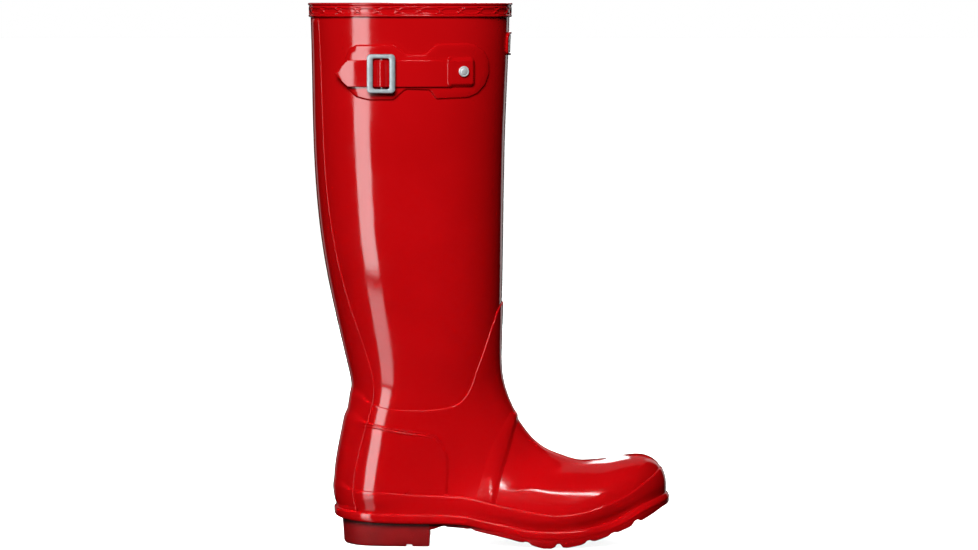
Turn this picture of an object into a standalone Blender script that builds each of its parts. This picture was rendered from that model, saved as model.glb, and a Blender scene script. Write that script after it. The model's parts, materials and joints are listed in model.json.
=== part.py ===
"""Tall rubber rain boot, right foot, with a side strap and buckle.

Metres, +Z up, +X to the toe, -Y to the outer (buckle) side.  The origin is the middle of
the heel's ground face.  The rubber skin is one lofted surface; every layer of the boot is
a sheet laid at its own height above or below that skin.
"""
import math

import bmesh
import bpy
import numpy as np
from mathutils import Vector
from mathutils.bvhtree import BVHTree
from mathutils.geometry import delaunay_2d_cdt

MM = 0.001
GAP = 0.3 * MM                  # clearance between pieces that touch

# ---- driving sizes -------------------------------------------------------------------
RUBBER = 2.2 * MM               # leg and foot rubber
STEP = 0.6 * MM                 # clearance under a sheet that lies on a curved face
OVERLAY_TOP = 1.4 * MM          # lift of each layer's outer face above the skin
OVERLAY_LOW = 53 * MM           # the ankle overlay ends here, under the heel counter
BAND_TOP = 2.6 * MM
COUNTER_TOP = 2.9 * MM
HEEL_STRIP_TOP = 4.2 * MM
BACK_STRIP_TOP = 1.4 * MM
PATCH_TOP = 1.4 * MM
STIFFENER = (-3.4 * MM, -2.7 * MM)
LINING = (-5.3 * MM, -4.4 * MM)
TAPE = (-6.6 * MM, -5.8 * MM)

FOXING = 2.5 * MM               # foxing and rand stand this far off the skin
RAND = 5.6 * MM
RAND_HEIGHT = 5.0 * MM
SOLE_EDGE = (2.2 * MM, 4.8 * MM)  # the outsole's edge at the heel and at the ball
SOLE_THICK = 3.8 * MM
LUG_START, LUG_PITCH, LUG_LENGTH, LUG_COUNT = 91.5 * MM, 20 * MM, 14.5 * MM, 6
HEEL_BREAST = 32.5 * MM
HEEL_GROOVE = (15 * MM, 19.5 * MM, 1.8 * MM)
HEEL_INSET = 3.4 * MM            # the heel block stands in from the outsole's edge

BAND_BOTTOM = 399.4 * MM        # top band
BAND_LIFT = 2.3 * MM

STRAP_Z = 357.6 * MM            # strap centre line, width and thickness
STRAP_HALF = 10.1 * MM
STRAP_LIFT = PATCH_TOP + GAP
STRAP_THICK = 1.8 * MM
BAR_X = -1.9 * MM               # buckle centre bar
BAR_LIFT = 3.4 * MM
BAR_RADIUS = 0.8 * MM
BUCKLE_HALF = (10.8 * MM, 14.6 * MM)
WINDOW_HALF = (6.2 * MM, 11.3 * MM)
FRAME_LIFT = (4.5 * MM, 6.5 * MM)
TAIL_ROOT = BAR_X - 12.2 * MM
TAIL_TIP = -34.3 * MM
PAD = (45.0 * MM, 66.7 * MM, 346.7 * MM, 370.3 * MM)
PAD_TOP = 4.4 * MM
STUD = (57.0 * MM, 359.2 * MM)

COLUMNS = 40                    # mesh columns round the boot

# Loft sections, in mm: front or top point (x, z), back or bottom point (x, z), half width,
# place of the widest point from back to front, and the roundness of each end.
SECTIONS = np.array([
    (93.2, 410.0, -57.4, 410.0, 50.5, 0.50, 2.15, 2.15),
    (92.0, 368.0, -56.4, 368.0, 50.5, 0.50, 2.15, 2.15),
    (90.0, 320.0, -55.6, 320.0, 51.0, 0.50, 2.15, 2.15),
    (88.9, 275.0, -53.7, 275.0, 51.0, 0.50, 2.15, 2.15),
    (88.2, 230.0, -49.2, 230.0, 49.5, 0.50, 2.15, 2.15),
    (87.6, 190.0, -42.2, 190.0, 46.5, 0.50, 2.15, 2.15),
    (86.8, 160.0, -35.6, 160.0, 43.0, 0.49, 2.12, 2.12),
    (86.5, 136.0, -30.0, 136.0, 39.8, 0.47, 2.10, 2.10),
    (88.5, 121.0, -27.1, 119.0, 37.5, 0.42, 2.05, 2.10),
    (93.0, 107.5, -29.6, 100.0, 36.0, 0.38, 2.00, 2.08),
    (100.3, 93.5, -34.8, 74.0, 35.0, 0.355, 2.00, 2.05),
    (110.3, 80.2, -38.0, 50.0, 34.0, 0.32, 2.00, 2.05),
    (121.0, 71.7, -35.0, 30.0, 33.4, 0.29, 2.00, 2.40),
    (132.2, 66.9, -20.0, 21.3, 33.0, 0.27, 2.05, 3.20),
    (143.4, 63.2, 12.0, 21.0, 33.6, 0.26, 2.10, 3.80),
    (152.5, 62.4, 50.0, 20.7, 35.6, 0.26, 2.10, 3.80),
    (160.7, 62.9, 90.0, 13.7, 38.8, 0.28, 2.10, 3.80),
    (169.0, 63.7, 128.0, 8.9, 41.6, 0.33, 2.10, 3.80),
    (177.4, 65.2, 160.5, 13.0, 40.7, 0.36, 2.12, 3.60),
    (186.8, 66.4, 183.5, 21.4, 36.3, 0.38, 2.15, 3.20),
    (195.2, 66.1, 195.2, 28.0, 30.6, 0.40, 2.20, 2.80),
    (202.0, 63.6, 202.0, 31.8, 24.4, 0.42, 2.20, 2.50),
    (207.2, 59.0, 207.2, 35.8, 17.0, 0.45, 2.20, 2.40),
    (210.1, 53.0, 210.1, 40.4, 9.0, 0.47, 2.20, 2.30),
    (210.9, 46.8, 210.9, 46.8, 0.0, 0.50, 2.20, 2.20)]) * (MM, MM, MM, MM, MM, 1, 1, 1)
TOE = len(SECTIONS) - 1

# Half-width of the strip up the back, in radians of turn, at each section from the rim down.
BACK_HALF = (0.46, 0.50, 0.53, 0.55, 0.60, 0.68, 0.78, 0.86, 0.93, 0.97, 1.00, 1.02, 1.00)

# Side-view curves, in mm, as (x, z) points that a smooth line runs through.
RAND_TOP = [(-45, 30), (-32, 27.6), (-8, 26), (30, 25.4), (58, 24.6), (75, 21), (92, 17.6),
            (107, 14), (130, 13.2), (153, 15.6), (176, 22.6), (194, 32.4), (215, 39.6)]
FOXING_TOP = [(-45, 41.5), (-24, 43), (15, 40.6), (45, 39.2), (62, 37.8), (81, 33.4),
              (105, 28.4), (130, 25.4), (153, 28.6), (170, 34.6), (182, 40.6), (194, 48.6),
              (208, 57)]
OVERLAY_EDGE = [(-32, 114), (-17, 110), (0, 105.5), (28, 104.3), (47, 106), (56, 110),
                (63, 119.5), (68, 134), (74, 150.5), (81, 170.5), (85, 181), (92, 190)]
LEG_BOTTOM = [(-35, 100), (30, 98), (50, 99), (62, 107), (72, 122), (88, 138), (100, 146)]
FOOT_TOP = [(-35, 88.5), (30, 86.5), (50, 86), (65, 90), (78, 100), (88, 113), (102, 116)]
BAND_BACK = [(95.8, 101.4), (91.7, 100), (81.2, 84.4), (73, 64.1), (67, 38.4)]
BAND_FRONT = [(100.7, 94.7), (97.7, 88.1), (93.2, 72.4), (87.7, 54.4), (83, 34)]
COUNTER_EDGE = [(-30.5, 95), (-7.8, 93.3), (3.4, 91), (25, 88), (34.8, 85.9), (40.6, 82),
                (44.8, 75), (47.3, 65.6), (47, 41)]
PATCH_EDGE = [(-22, 379.2), (7, 379.7), (16.2, 372.1), (29.8, 372.2), (38.4, 380.1),
              (60, 380.5), (68, 379), (74, 374.6), (77.4, 367), (77.4, 357), (74.4, 348.5),
              (69, 342.2), (62, 339), (37.9, 338), (33, 344.8), (15.7, 345.4), (6.5, 337.4),
              (-12, 337.2), (-22, 339.6), (-28.5, 346.5), (-31, 357), (-30.4, 368),
              (-27.5, 375.5)]

# ---- materials -----------------------------------------------------------------------
RED = (0.48, 0.004, 0.006)
FINISHES = {
    "gloss_rubber": (RED, 0.12, 0.0),
    "matte_rubber": ((0.40, 0.006, 0.007), 0.55, 0.0),
    "steel": ((0.62, 0.61, 0.59), 0.28, 1.0),
    "knit": ((0.62, 0.58, 0.52), 0.9, 0.0),
    "board": ((0.36, 0.27, 0.18), 0.9, 0.0),
    "foam": ((0.05, 0.05, 0.055), 0.95, 0.0),
    "plaque": ((0.85, 0.84, 0.82), 0.3, 0.0),
}


def finish(kind):
    """The Principled material of one finish, made once."""
    if kind in bpy.data.materials:
        return bpy.data.materials[kind]
    colour, roughness, metallic = FINISHES[kind]
    material = bpy.data.materials.new(kind)
    material.use_nodes = True
    shader = material.node_tree.nodes["Principled BSDF"]
    shader.inputs["Base Color"].default_value = (*colour, 1)
    shader.inputs["Roughness"].default_value = roughness
    shader.inputs["Metallic"].default_value = metallic
    return material


# ---- mesh helpers --------------------------------------------------------------------
def make_piece(name, points, faces, kind, sharp=40):
    """One named object from points and faces, smooth but for edges over the sharp angle."""
    mesh = bpy.data.meshes.new(name)
    mesh.from_pydata([tuple(map(float, p)) for p in points], [], faces)
    shell = bmesh.new()
    shell.from_mesh(mesh)
    bmesh.ops.remove_doubles(shell, verts=shell.verts, dist=0.002 * MM)
    bmesh.ops.dissolve_degenerate(shell, edges=shell.edges, dist=0.001 * MM)
    bmesh.ops.recalc_face_normals(shell, faces=shell.faces)
    shell.to_mesh(mesh)
    shell.free()
    mesh.shade_smooth()
    mesh.set_sharp_from_angle(angle=math.radians(sharp))
    piece = bpy.data.objects.new(name, mesh)
    bpy.context.scene.collection.objects.link(piece)
    mesh.materials.append(finish(kind))
    return piece


def spline(values, places):
    """Natural cubic spline through the rows of values, at real-numbered places."""
    last = len(values) - 1
    system = np.eye(last + 1) * 4 + np.eye(last + 1, k=1) + np.eye(last + 1, k=-1)
    system[0], system[-1] = np.eye(last + 1)[0], np.eye(last + 1)[-1]
    bend = np.zeros_like(values)
    bend[1:-1] = 6 * (values[2:] - 2 * values[1:-1] + values[:-2])
    bend = np.linalg.solve(system, bend)
    places = np.clip(places, 0, last)
    low = np.minimum(places.astype(int), last - 1)
    part = (places - low)[..., None]
    rest = 1 - part
    return (values[low] * rest + values[low + 1] * part
            + bend[low] * (rest ** 3 - rest) / 6 + bend[low + 1] * (part ** 3 - part) / 6)


def side_curve(points):
    """Height as a smooth function of x through side-view points given in mm."""
    points = np.array(points, float) * MM
    across = points[:, 0]

    def height(x):
        x = np.clip(x, across[0], across[-1])
        return spline(points[:, 1:], np.interp(x, across, np.arange(len(across))))[..., 0]
    return height


rand_top = side_curve(RAND_TOP)
foxing_top = side_curve(FOXING_TOP)


def sole_top(x):
    """Height of the outsole's upper face, which is also the bottom of the rand."""
    return rand_top(x) - RAND_HEIGHT


def tread(x):
    """Height of the tread: flat on the ground, then the toe spring."""
    rise = np.maximum(np.asarray(x) / MM - 128, 0)
    return 0.02475 * rise ** 1.6 * MM


# ---- the skin ------------------------------------------------------------------------
def smoothstep(value):
    value = np.clip(value, 0, 1)
    return value * value * (3 - 2 * value)


def bare_skin(place, turn):
    """Points of the skin.  place runs from the top rim to the toe; turn runs round the
    boot from the front edge (0) over the buckle side (90 degrees) to the back."""
    row = spline(SECTIONS, place)
    front, back = row[..., 0:2], row[..., 2:4]
    middle = back + row[..., 5:6] * (front - back)
    along, across = np.cos(turn), np.sin(turn)
    power = np.where(along > 0, row[..., 6], row[..., 7])
    size = (np.abs(along) ** power + np.abs(across) ** power) ** (-1 / power)
    reach = np.where((along > 0)[..., None], front - middle, middle - back)
    flat = middle + (along * size)[..., None] * reach
    bend = 6 * MM * smoothstep((flat[..., 0] - 110 * MM) / (100 * MM))
    side = bend - across * size * row[..., 4]
    return np.stack([flat[..., 0], side, flat[..., 1]], axis=-1)


def skin(place, turn, lift=0.0):
    """Points at a height above (or, if negative, below) the skin."""
    place, turn = np.broadcast_arrays(np.asarray(place, float), np.asarray(turn, float))
    points = bare_skin(place, turn)
    safe = np.clip(place, 0.01, TOE - 0.03)
    down = bare_skin(safe + 0.01, turn) - bare_skin(safe - 0.01, turn)
    around = bare_skin(safe, turn + 0.002) - bare_skin(safe, turn - 0.002)
    normal = np.cross(down, around)
    normal /= np.linalg.norm(normal, axis=-1, keepdims=True) + 1e-12
    normal[place > TOE - 0.02] = (-1, 0, 0)
    return points - normal * np.asarray(lift)[..., None]


def skin_tree():
    """Search tree of a fine skin mesh, for rays."""
    places, turns = np.linspace(0, TOE, 193), np.linspace(0.013, 2 * math.pi + 0.013, 161)
    grid = bare_skin(*np.meshgrid(places, turns, indexing="ij"))
    count = len(turns)
    faces = [(i * count + j, i * count + j + 1, (i + 1) * count + j + 1, (i + 1) * count + j)
             for i in range(len(places) - 1) for j in range(count - 1)]
    return BVHTree.FromPolygons([Vector(p) for p in grid.reshape(-1, 3)], faces)


TREE = skin_tree()


def drape(x, z, lift):
    """Point over the buckle side of the leg at a height above the skin."""
    hit, normal, _, _ = TREE.ray_cast(Vector((x, -0.2, z)), Vector((0, 1, 0)))
    if normal.y > 0:
        normal = -normal
    return hit + normal * lift


def crossing(turn, edge, low, high):
    """Place on each turn line where the skin first drops below a side-view curve."""
    places = np.linspace(low, high, 400)
    points = bare_skin(*np.meshgrid(places, turn, indexing="ij"))
    above = points[..., 2] - edge(points[..., 0])
    first = np.maximum(np.argmax(above < 0, axis=0), 1)
    column = np.arange(len(turn))
    upper, lower = above[first - 1, column], above[first, column]
    part = np.clip(upper / (upper - lower + 1e-12), 0, 1)
    return places[first - 1] + part * (places[1] - places[0])


def place_at_height(z):
    """Place of the level leg section at height z."""
    places = np.linspace(0, 7, 700)
    return float(np.interp(-z, -spline(SECTIONS[:, 1:2], places)[:, 0], places))


# ---- sheets on the skin --------------------------------------------------------------
def sleeve(name, start, end, rows, lifts, kind, columns=COLUMNS):
    """Closed sheet all the way round, from places start to end; an end at the toe closes."""
    turn = np.arange(columns) * 2 * math.pi / columns
    start, end = np.broadcast_to(start, turn.shape), np.broadcast_to(end, turn.shape)
    share = np.linspace(0, 1, rows + 1)[:, None]
    place = start + (end - start) * share
    turns = np.broadcast_to(turn, place.shape)
    outer, inner = skin(place, turns, lifts[1]), skin(place, turns, lifts[0])
    points = np.concatenate([outer.reshape(-1, 3), inner.reshape(-1, 3)])
    half = (rows + 1) * columns
    faces = []
    for row in range(rows):
        for j in range(columns):
            k = (j + 1) % columns
            a, b = row * columns + j, row * columns + k
            faces.append((a, b, b + columns, a + columns))
            faces.append((half + a, half + a + columns, half + b + columns, half + b))
    ends = [0] if np.min(end) >= TOE else [0, rows]
    for row in ends:
        for j in range(columns):
            a, b = row * columns + j, row * columns + (j + 1) % columns
            faces.append((a, half + a, half + b, b))
    return make_piece(name, points, faces, kind)


def locate(x, z):
    """(place, turn) of the buckle-side skin point nearest to a side-view point."""
    places, turns = np.linspace(0, TOE - 0.1, 600), np.linspace(0, math.pi, 200)
    place, turn = np.meshgrid(places, turns, indexing="ij")
    grid = bare_skin(place, turn)
    best = np.argmin((grid[..., 0] - x) ** 2 + (grid[..., 2] - z) ** 2)
    return place.flat[best], turn.flat[best]


def smooth_line(points, count, closed=False):
    """Evenly placed points on a smooth line through side-view points in mm."""
    points = np.array(points, float) * MM
    if not closed:
        return spline(points, np.linspace(0, len(points) - 1, count))
    padded = np.concatenate([points[-3:], points, points[:3]])
    return spline(padded, 3 + np.arange(count) * len(points) / count)


def fill(outline, spacing):
    """Triangles that fill an outline, through points on a triangular lattice inside it."""
    lowest, highest = outline.min(axis=0), outline.max(axis=0)
    inside = []
    for row, v in enumerate(np.arange(lowest[1], highest[1], spacing * 0.87)):
        for u in np.arange(lowest[0] + (row % 2) * spacing / 2, highest[0], spacing):
            if np.min(np.hypot(*(outline - (u, v)).T)) > 0.6 * spacing:
                inside.append((u, v))
    count = len(outline)
    points = [Vector(p) for p in outline] + [Vector(p) for p in inside]
    edges = [(i, (i + 1) % count) for i in range(count)]
    points, _, faces, _, _, _ = delaunay_2d_cdt(points, edges, [list(range(count))], 1, 1e-9)
    return np.array([tuple(p) for p in points]), faces


def divided(outline, longest):
    """The outline with extra points wherever a side is longer than it should be."""
    points = []
    for here, there in zip(outline, np.roll(outline, -1, axis=0)):
        steps = max(1, math.ceil(np.hypot(*(there - here)) / longest))
        points += [here + (there - here) * k / steps for k in range(steps)]
    return np.array(points)


def sheet(name, outline, to_world, lifts, spacing, kind):
    """Closed sheet with straight edges over a flat outline that to_world lays in place."""
    flat, faces = fill(divided(outline, spacing), spacing)
    count = len(flat)
    uses = {}
    for face in faces:
        for a, b in zip(face, list(face[1:]) + [face[0]]):
            uses[(a, b)] = True
    rim = [(a, b) for a, b in uses if (b, a) not in uses]
    walls = [(a, a + count, b + count, b) for a, b in rim]
    under = [tuple(count + i for i in reversed(face)) for face in faces]
    points = [to_world(flat, lifts[1]), to_world(flat, lifts[0])]
    return make_piece(name, np.concatenate(points), [tuple(f) for f in faces] + under + walls,
                      kind)


PLACE_SIZE, TURN_SIZE = 20 * MM, 40 * MM    # rough size of one place and one radian


def on_skin(flat, lift):
    return skin(flat[:, 0] / PLACE_SIZE, flat[:, 1] / TURN_SIZE, np.full(len(flat), lift))


def mirrored_outline(line, axis):
    """Outline in (place, turn) from a side-view line, doubled over turn = axis."""
    half = np.array([locate(x, z) for x, z in line])
    half[:, 1] = np.where(np.abs(half[:, 1] - axis) < 0.03, axis, half[:, 1])
    other = half[::-1].copy()
    other[:, 1] = 2 * axis - other[:, 1]
    keep = np.abs(other[:, 1] - axis) > 1e-6
    return np.concatenate([half, other[keep]]) * (PLACE_SIZE, TURN_SIZE)


def on_leg(flat, lift):
    return np.array([drape(x, z, lift) for x, z in flat])


# ---- rings and plates of the sole ----------------------------------------------------
HEEL_CENTRE, TOE_CENTRE = -4 * MM, 166 * MM


def stations(count=20, arc=18):
    """Start and direction of the rays that find the sole's outline, all the way round."""
    rays = []
    for k in range(count):                                   # outer side, heel to toe
        rays.append((HEEL_CENTRE + (TOE_CENTRE - HEEL_CENTRE) * k / count, -90))
    rays += [(TOE_CENTRE, -90 + 180 * k / arc) for k in range(arc)]
    for k in range(count):                                   # inner side, toe to heel
        rays.append((TOE_CENTRE + (HEEL_CENTRE - TOE_CENTRE) * k / count, 90))
    rays += [(HEEL_CENTRE, 90 + 180 * k / arc) for k in range(arc)]
    result = []
    for x, angle in rays:
        angle = math.radians(angle)
        start = Vector((x, 6 * MM * float(smoothstep((x - 110 * MM) / (100 * MM))), 0))
        result.append((start, Vector((math.cos(angle), math.sin(angle), 0))))
    return result


def reach(start, direction, z):
    """Distance from a ray's start to the skin at height z, never under the sock's corner."""
    far = 38 * MM
    for _ in range(3):
        level = max(z, float(sole_top(start.x + far * direction.x)) + 7 * MM)
        origin = Vector((start.x, start.y, level))
        hit, _, _, _ = TREE.ray_cast(origin, direction)
        far = (hit - origin).length
    return far


def sole_ring(name, profile, kind):
    """Closed ring round the foot; profile gives each station's (distance, z) points."""
    loops = [[start + direction * far + Vector((0, 0, z)) for far, z in profile(start, direction)]
             for start, direction in stations()]
    count, size = len(loops), len(loops[0])
    faces = [(i * size + j, i * size + (j + 1) % size,
              ((i + 1) % count) * size + (j + 1) % size, ((i + 1) % count) * size + j)
             for i in range(count) for j in range(size)]
    return make_piece(name, [p for loop in loops for p in loop], faces, kind)


def sole_edge(x):
    """How far the outsole's edge stands off the skin: little at the heel, more at the ball."""
    return SOLE_EDGE[0] + (SOLE_EDGE[1] - SOLE_EDGE[0]) * float(smoothstep((x - 40 * MM)
                                                                         / (60 * MM)))


def plan_outline(extra, height):
    """Plan points of the skin's outline at a height over the sole, moved out by extra(x)."""
    points = []
    for start, direction in stations(30, 24):
        x = start.x + 38 * MM * direction.x
        far = reach(start, direction, float(sole_top(x)) + height)
        points.append(start + direction * (far + extra(x)))
    return np.array([(p.x, p.y) for p in points])


def sock_bottom(x, y):
    """Height of the skin's underside over a plan point, or none outside it."""
    hit, _, _, _ = TREE.ray_cast(Vector((x, y + 1e-6, -0.01)), Vector((0, 0, 1)))
    return None if hit is None else hit.z


def plan_width(outline):
    """Function of x giving the outline's y on the outer and the inner side."""
    first, last = np.argmin(outline[:, 0]), np.argmax(outline[:, 0])
    order = np.roll(outline, -first, axis=0)
    turn = (last - first) % len(order)
    outer = order[:turn + 1]
    inner = np.concatenate([order[turn:], order[:1]])[::-1]

    def width(x):
        return np.interp(x, outer[:, 0], outer[:, 1]), np.interp(x, inner[:, 0], inner[:, 1])
    return width, outline[first, 0], outline[last, 0]


def plate(name, rows, top, bottom, edges_top, edges_bottom, kind, columns=6):
    """Closed plate from rows of x; edges give each row's two y ends, top and bottom z."""
    share = np.linspace(0, 1, columns + 1)
    points = []
    for edges, height in ((edges_top, top), (edges_bottom, bottom)):
        for x in rows:
            low, high = edges(x)
            for y in low + (high - low) * share:
                points.append((x, y, float(height(x, y))))
    half, width = len(rows) * (columns + 1), columns + 1
    faces = []
    for i in range(len(rows) - 1):
        for j in range(columns):
            a = i * width + j
            faces.append((a, a + width, a + width + 1, a + 1))
            faces.append((half + a, half + a + 1, half + a + width + 1, half + a + width))
        for a in (i * width, i * width + columns):
            faces.append((a, a + width, half + a + width, half + a))
    for i in (0, len(rows) - 1):
        for j in range(columns):
            a = i * width + j
            faces.append((a, a + 1, half + a + 1, half + a))
    return make_piece(name, points, faces, kind, sharp=30)


def round_rows(low, high, count, round_low=True, round_high=True):
    """x rows that crowd towards the rounded ends of a plate."""
    share = np.linspace(0, 1, count)
    if round_low and round_high:
        share = (1 - np.cos(math.pi * share)) / 2
    elif round_low:
        share = 1 - np.cos(math.pi / 2 * share)
    elif round_high:
        share = np.sin(math.pi / 2 * share)
    return low + (high - low) * share


# ---- rubber upper --------------------------------------------------------------------
def all_turns(columns=COLUMNS):
    return np.arange(columns) * 2 * math.pi / columns


def build_upper():
    turns, coarse = all_turns(), all_turns(24)
    leg_end = crossing(turns, side_curve(LEG_BOTTOM), 5.5, 11)
    foot_start = crossing(turns, side_curve(FOOT_TOP), 7, 12)
    sleeve("leg_rubber", 0.0, leg_end, 15, (-RUBBER, 0), "gloss_rubber")
    sleeve("foot_rubber", foot_start, TOE, 24, (-RUBBER, 0), "gloss_rubber")

    edge_place = crossing(turns, side_curve(OVERLAY_EDGE), 4.5, 11)
    band_line = smooth_line(BAND_FRONT, 30)
    band_x = band_line[::-1, 0], band_line[::-1, 1]

    def overlay_floor(x):
        front = np.interp(x, band_x[0], band_x[1], left=-1, right=1)
        return np.maximum(OVERLAY_LOW, front)
    foot_place = crossing(turns, overlay_floor, 8.6, 18)
    sleeve("ankle_overlay", edge_place, foot_place, 11, (STEP, OVERLAY_TOP), "gloss_rubber")

    leg_inner = crossing(coarse, side_curve(LEG_BOTTOM), 5.5, 11)
    foot_inner = crossing(coarse, side_curve(FOOT_TOP), 7, 12)
    rim = place_at_height(406 * MM)
    sleeve("leg_lining", rim, leg_inner, 7, LINING, "knit", 24)
    sleeve("ankle_lining", leg_inner + 0.02, foot_inner - 0.02, 2, LINING, "knit", 24)
    sleeve("foot_lining", foot_inner, TOE, 16, LINING, "knit", 24)
    sleeve("inner_top_tape", rim, place_at_height(382 * MM), 1, TAPE, "knit", 24)
    sleeve("toe_puff", 18.8, TOE, 8, STIFFENER, "board", 24)


def build_top_band():
    end = place_at_height(BAND_BOTTOM)
    sleeve("top_band", 0.01, end, 2, (STEP, BAND_LIFT), "gloss_rubber")


def build_overlays():
    """Heel counter, instep band and the strips up the back, bonded over the rubber."""
    line = list(smooth_line(COUNTER_EDGE, 22))
    line += [(x * MM, float(foxing_top(x * MM)) + 1.2 * MM) for x in range(42, -30, -8)]
    line.append((-39.5 * MM, 44.6 * MM))
    outline = mirrored_outline(line, math.pi)
    sheet("heel_counter", outline, on_skin, (OVERLAY_TOP + STEP, COUNTER_TOP), 5 * MM,
          "gloss_rubber")

    band = list(smooth_line(BAND_BACK, 14)) + list(smooth_line(BAND_FRONT, 14))[::-1]
    outline = mirrored_outline(band, 0.0)
    sheet("instep_band", outline, on_skin, (OVERLAY_TOP + STEP, BAND_TOP), 5 * MM,
          "gloss_rubber")

    strip_sheet("back_strip", place_at_height(BAND_BOTTOM - 0.6 * MM), 8.0,
                (STEP, BACK_STRIP_TOP))
    strip_sheet("heel_strip", 9.45, 11.25, (COUNTER_TOP + STEP, HEEL_STRIP_TOP))

    line = list(smooth_line([(-29, 84), (-5, 82), (22, 77), (33, 66), (35, 52), (34, 47)], 14))
    line += [(x * MM, 43.5 * MM) for x in range(26, -28, -9)] + [(-39 * MM, 43.5 * MM)]
    sheet("heel_stiffener", mirrored_outline(line, math.pi), on_skin, STIFFENER, 6 * MM,
          "board")


def strip_sheet(name, start, end, lifts):
    """Sheet down the middle of the back, which widens towards the heel."""
    down = np.linspace(start, end, max(5, int((end - start) * 2.5) + 1))
    half = np.interp(down, np.arange(len(BACK_HALF)), BACK_HALF)
    left = np.stack([down, math.pi - half], axis=1)
    right = np.stack([down, math.pi + half], axis=1)[::-1]
    outline = np.concatenate([left, right]) * (PLACE_SIZE, TURN_SIZE)
    sheet(name, outline, on_skin, lifts, 7 * MM, "gloss_rubber")


# ---- sole ----------------------------------------------------------------------------
def build_sole():
    def edge_x(start, direction, far):
        return start.x + direction.x * far

    def foxing_profile(start, direction):
        far = reach(start, direction, 0)
        top = float(foxing_top(edge_x(start, direction, far)))
        corner = float(sole_top(edge_x(start, direction, far))) + 7 * MM
        levels = [corner + (top - corner) * k / 4 for k in range(5)]
        sides = []
        for lift in (FOXING, STEP):
            base = float(sole_top(edge_x(start, direction, far + lift)))
            sides.append([(far + lift, base)]
                         + [(reach(start, direction, z) + lift, z) for z in levels])
        return sides[0] + sides[1][::-1]

    def rand_profile(start, direction):
        near = reach(start, direction, 0) + FOXING + GAP
        out = near + RAND - FOXING
        section = [(near, 0), (out - 1.2 * MM, 0), (out, 1.5 * MM),
                   (out, RAND_HEIGHT - 1.5 * MM), (out - 1.2 * MM, RAND_HEIGHT),
                   (near, RAND_HEIGHT)]
        return [(far, float(sole_top(edge_x(start, direction, far))) + up)
                for far, up in section]

    sole_ring("foxing_strip", foxing_profile, "gloss_rubber")
    sole_ring("rand", rand_profile, "gloss_rubber")

    width, back, front = plan_width(plan_outline(sole_edge, 5 * MM))
    lugs = [LUG_START + LUG_PITCH * k for k in range(LUG_COUNT)]
    marks = [x + side for x in lugs for side in (-0.5 * MM, 0.5 * MM,
                                                 LUG_LENGTH - 0.5 * MM, LUG_LENGTH + 0.5 * MM)]
    plain = [x for x in round_rows(back + 0.1 * MM, front - 0.1 * MM, 34)
             if min(abs(x - m) for m in marks) > 1.6 * MM]
    rows = np.array(sorted(plain + [m for m in marks if m < front - 1 * MM]))

    def outsole_top(x, y):
        under = sock_bottom(x, y)
        top = float(sole_top(x))
        return (top if under is None else min(top, under)) - GAP

    def outsole_bottom(x, y):
        base = float(sole_top(x)) - GAP - SOLE_THICK
        if any(a + 0.1 * MM < x < a + LUG_LENGTH - 0.1 * MM for a in lugs):
            return min(base - 1 * MM, max(float(tread(x)), base - 5 * MM))
        return base
    plate("outsole", rows, outsole_top, outsole_bottom, width,
          lambda x: tuple(np.array(width(x)) * 0.985), "matte_rubber")

    build_heel_block(width, back)
    build_inner_plates()


def build_heel_block(width, back):
    start, end, depth = HEEL_GROOVE
    marks = [start - 0.4 * MM, start + 0.4 * MM, end - 0.4 * MM, end + 0.4 * MM]
    rows = [x for x in round_rows(back + HEEL_INSET, HEEL_BREAST, 16, True, False)
            if min(abs(x - m) for m in marks) > 0.8 * MM]
    rows = np.array(sorted(rows + marks))
    heel_back = back + 5 * MM

    def inset_top(x):
        low, high = width(x)
        return low + 1.4 * MM, high - 1.4 * MM

    def foot_of(x):
        """x in the narrower outline that the block has at the ground."""
        low, high = width(back + (x - back - HEEL_INSET) * 1.02)
        return min(low + 4.6 * MM, -1e-4), max(high - 4.6 * MM, 1e-4)

    def under(x, y):
        groove = depth if start < x < end else 0
        return max(groove, 1.5 * MM if x < heel_back - 2 * MM else 0)
    plate("heel_block", rows, lambda x, y: float(sole_top(x)) - 2 * GAP - SOLE_THICK, under,
          inset_top, foot_of, "matte_rubber")


def build_inner_plates():
    """Shank, fillers, insole board and footbed, one on another inside the lining."""
    base = -1.12 * LINING[0] + 0.7 * MM
    width, back, front = plan_width(plan_outline(lambda x: -9.5 * MM, 12 * MM))
    back, front = back + 1 * MM, front - 1 * MM

    def layer(name, low, high, start, end, kind, edges=width, count=14, ends=(True, True)):
        """Plate that follows the sock's bottom, between two heights above it."""
        plate(name, round_rows(start, end, count, *ends),
              lambda x, y: sock_bottom(x, y) + base + high,
              lambda x, y: sock_bottom(x, y) + base + low, edges, edges, kind, 4)

    def inset(amount):
        def edges(x):
            low, high = width(x)
            middle = (low + high) / 2
            return min(low + amount, middle - 1e-4), max(high - amount, middle + 1e-4)
        return edges
    shank_half = 7 * MM
    low = 0.5 * MM
    layer("heel_filler", low, 1.9 * MM, back + 5 * MM, 18 * MM, "foam", inset(4 * MM), 10,
          (True, False))
    layer("shank", low, 1.9 * MM, 19 * MM, 108 * MM, "steel", lambda x: (-shank_half, shank_half),
          14, (False, False))
    layer("forefoot_filler", low, 1.9 * MM, 109 * MM, front - 10 * MM, "foam", inset(4 * MM),
          12, (False, True))
    layer("insole_board", 2.3 * MM, 4.3 * MM, back + 2 * MM, front - 3 * MM, "board",
          inset(1 * MM), 18)
    layer("footbed", 4.7 * MM, 8.7 * MM, back, front, "foam", inset(0), 18)


# ---- strap, buckle and badge ---------------------------------------------------------
def strap_height(x):
    """Lift of the strap's lower face: it dips under the frame's bars and over the middle."""
    hump = math.exp(-((x - BAR_X) / (4.2 * MM)) ** 2)
    return STRAP_LIFT + hump * (BAR_LIFT + BAR_RADIUS + 1.3 * MM + GAP - STRAP_LIFT)


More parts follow.
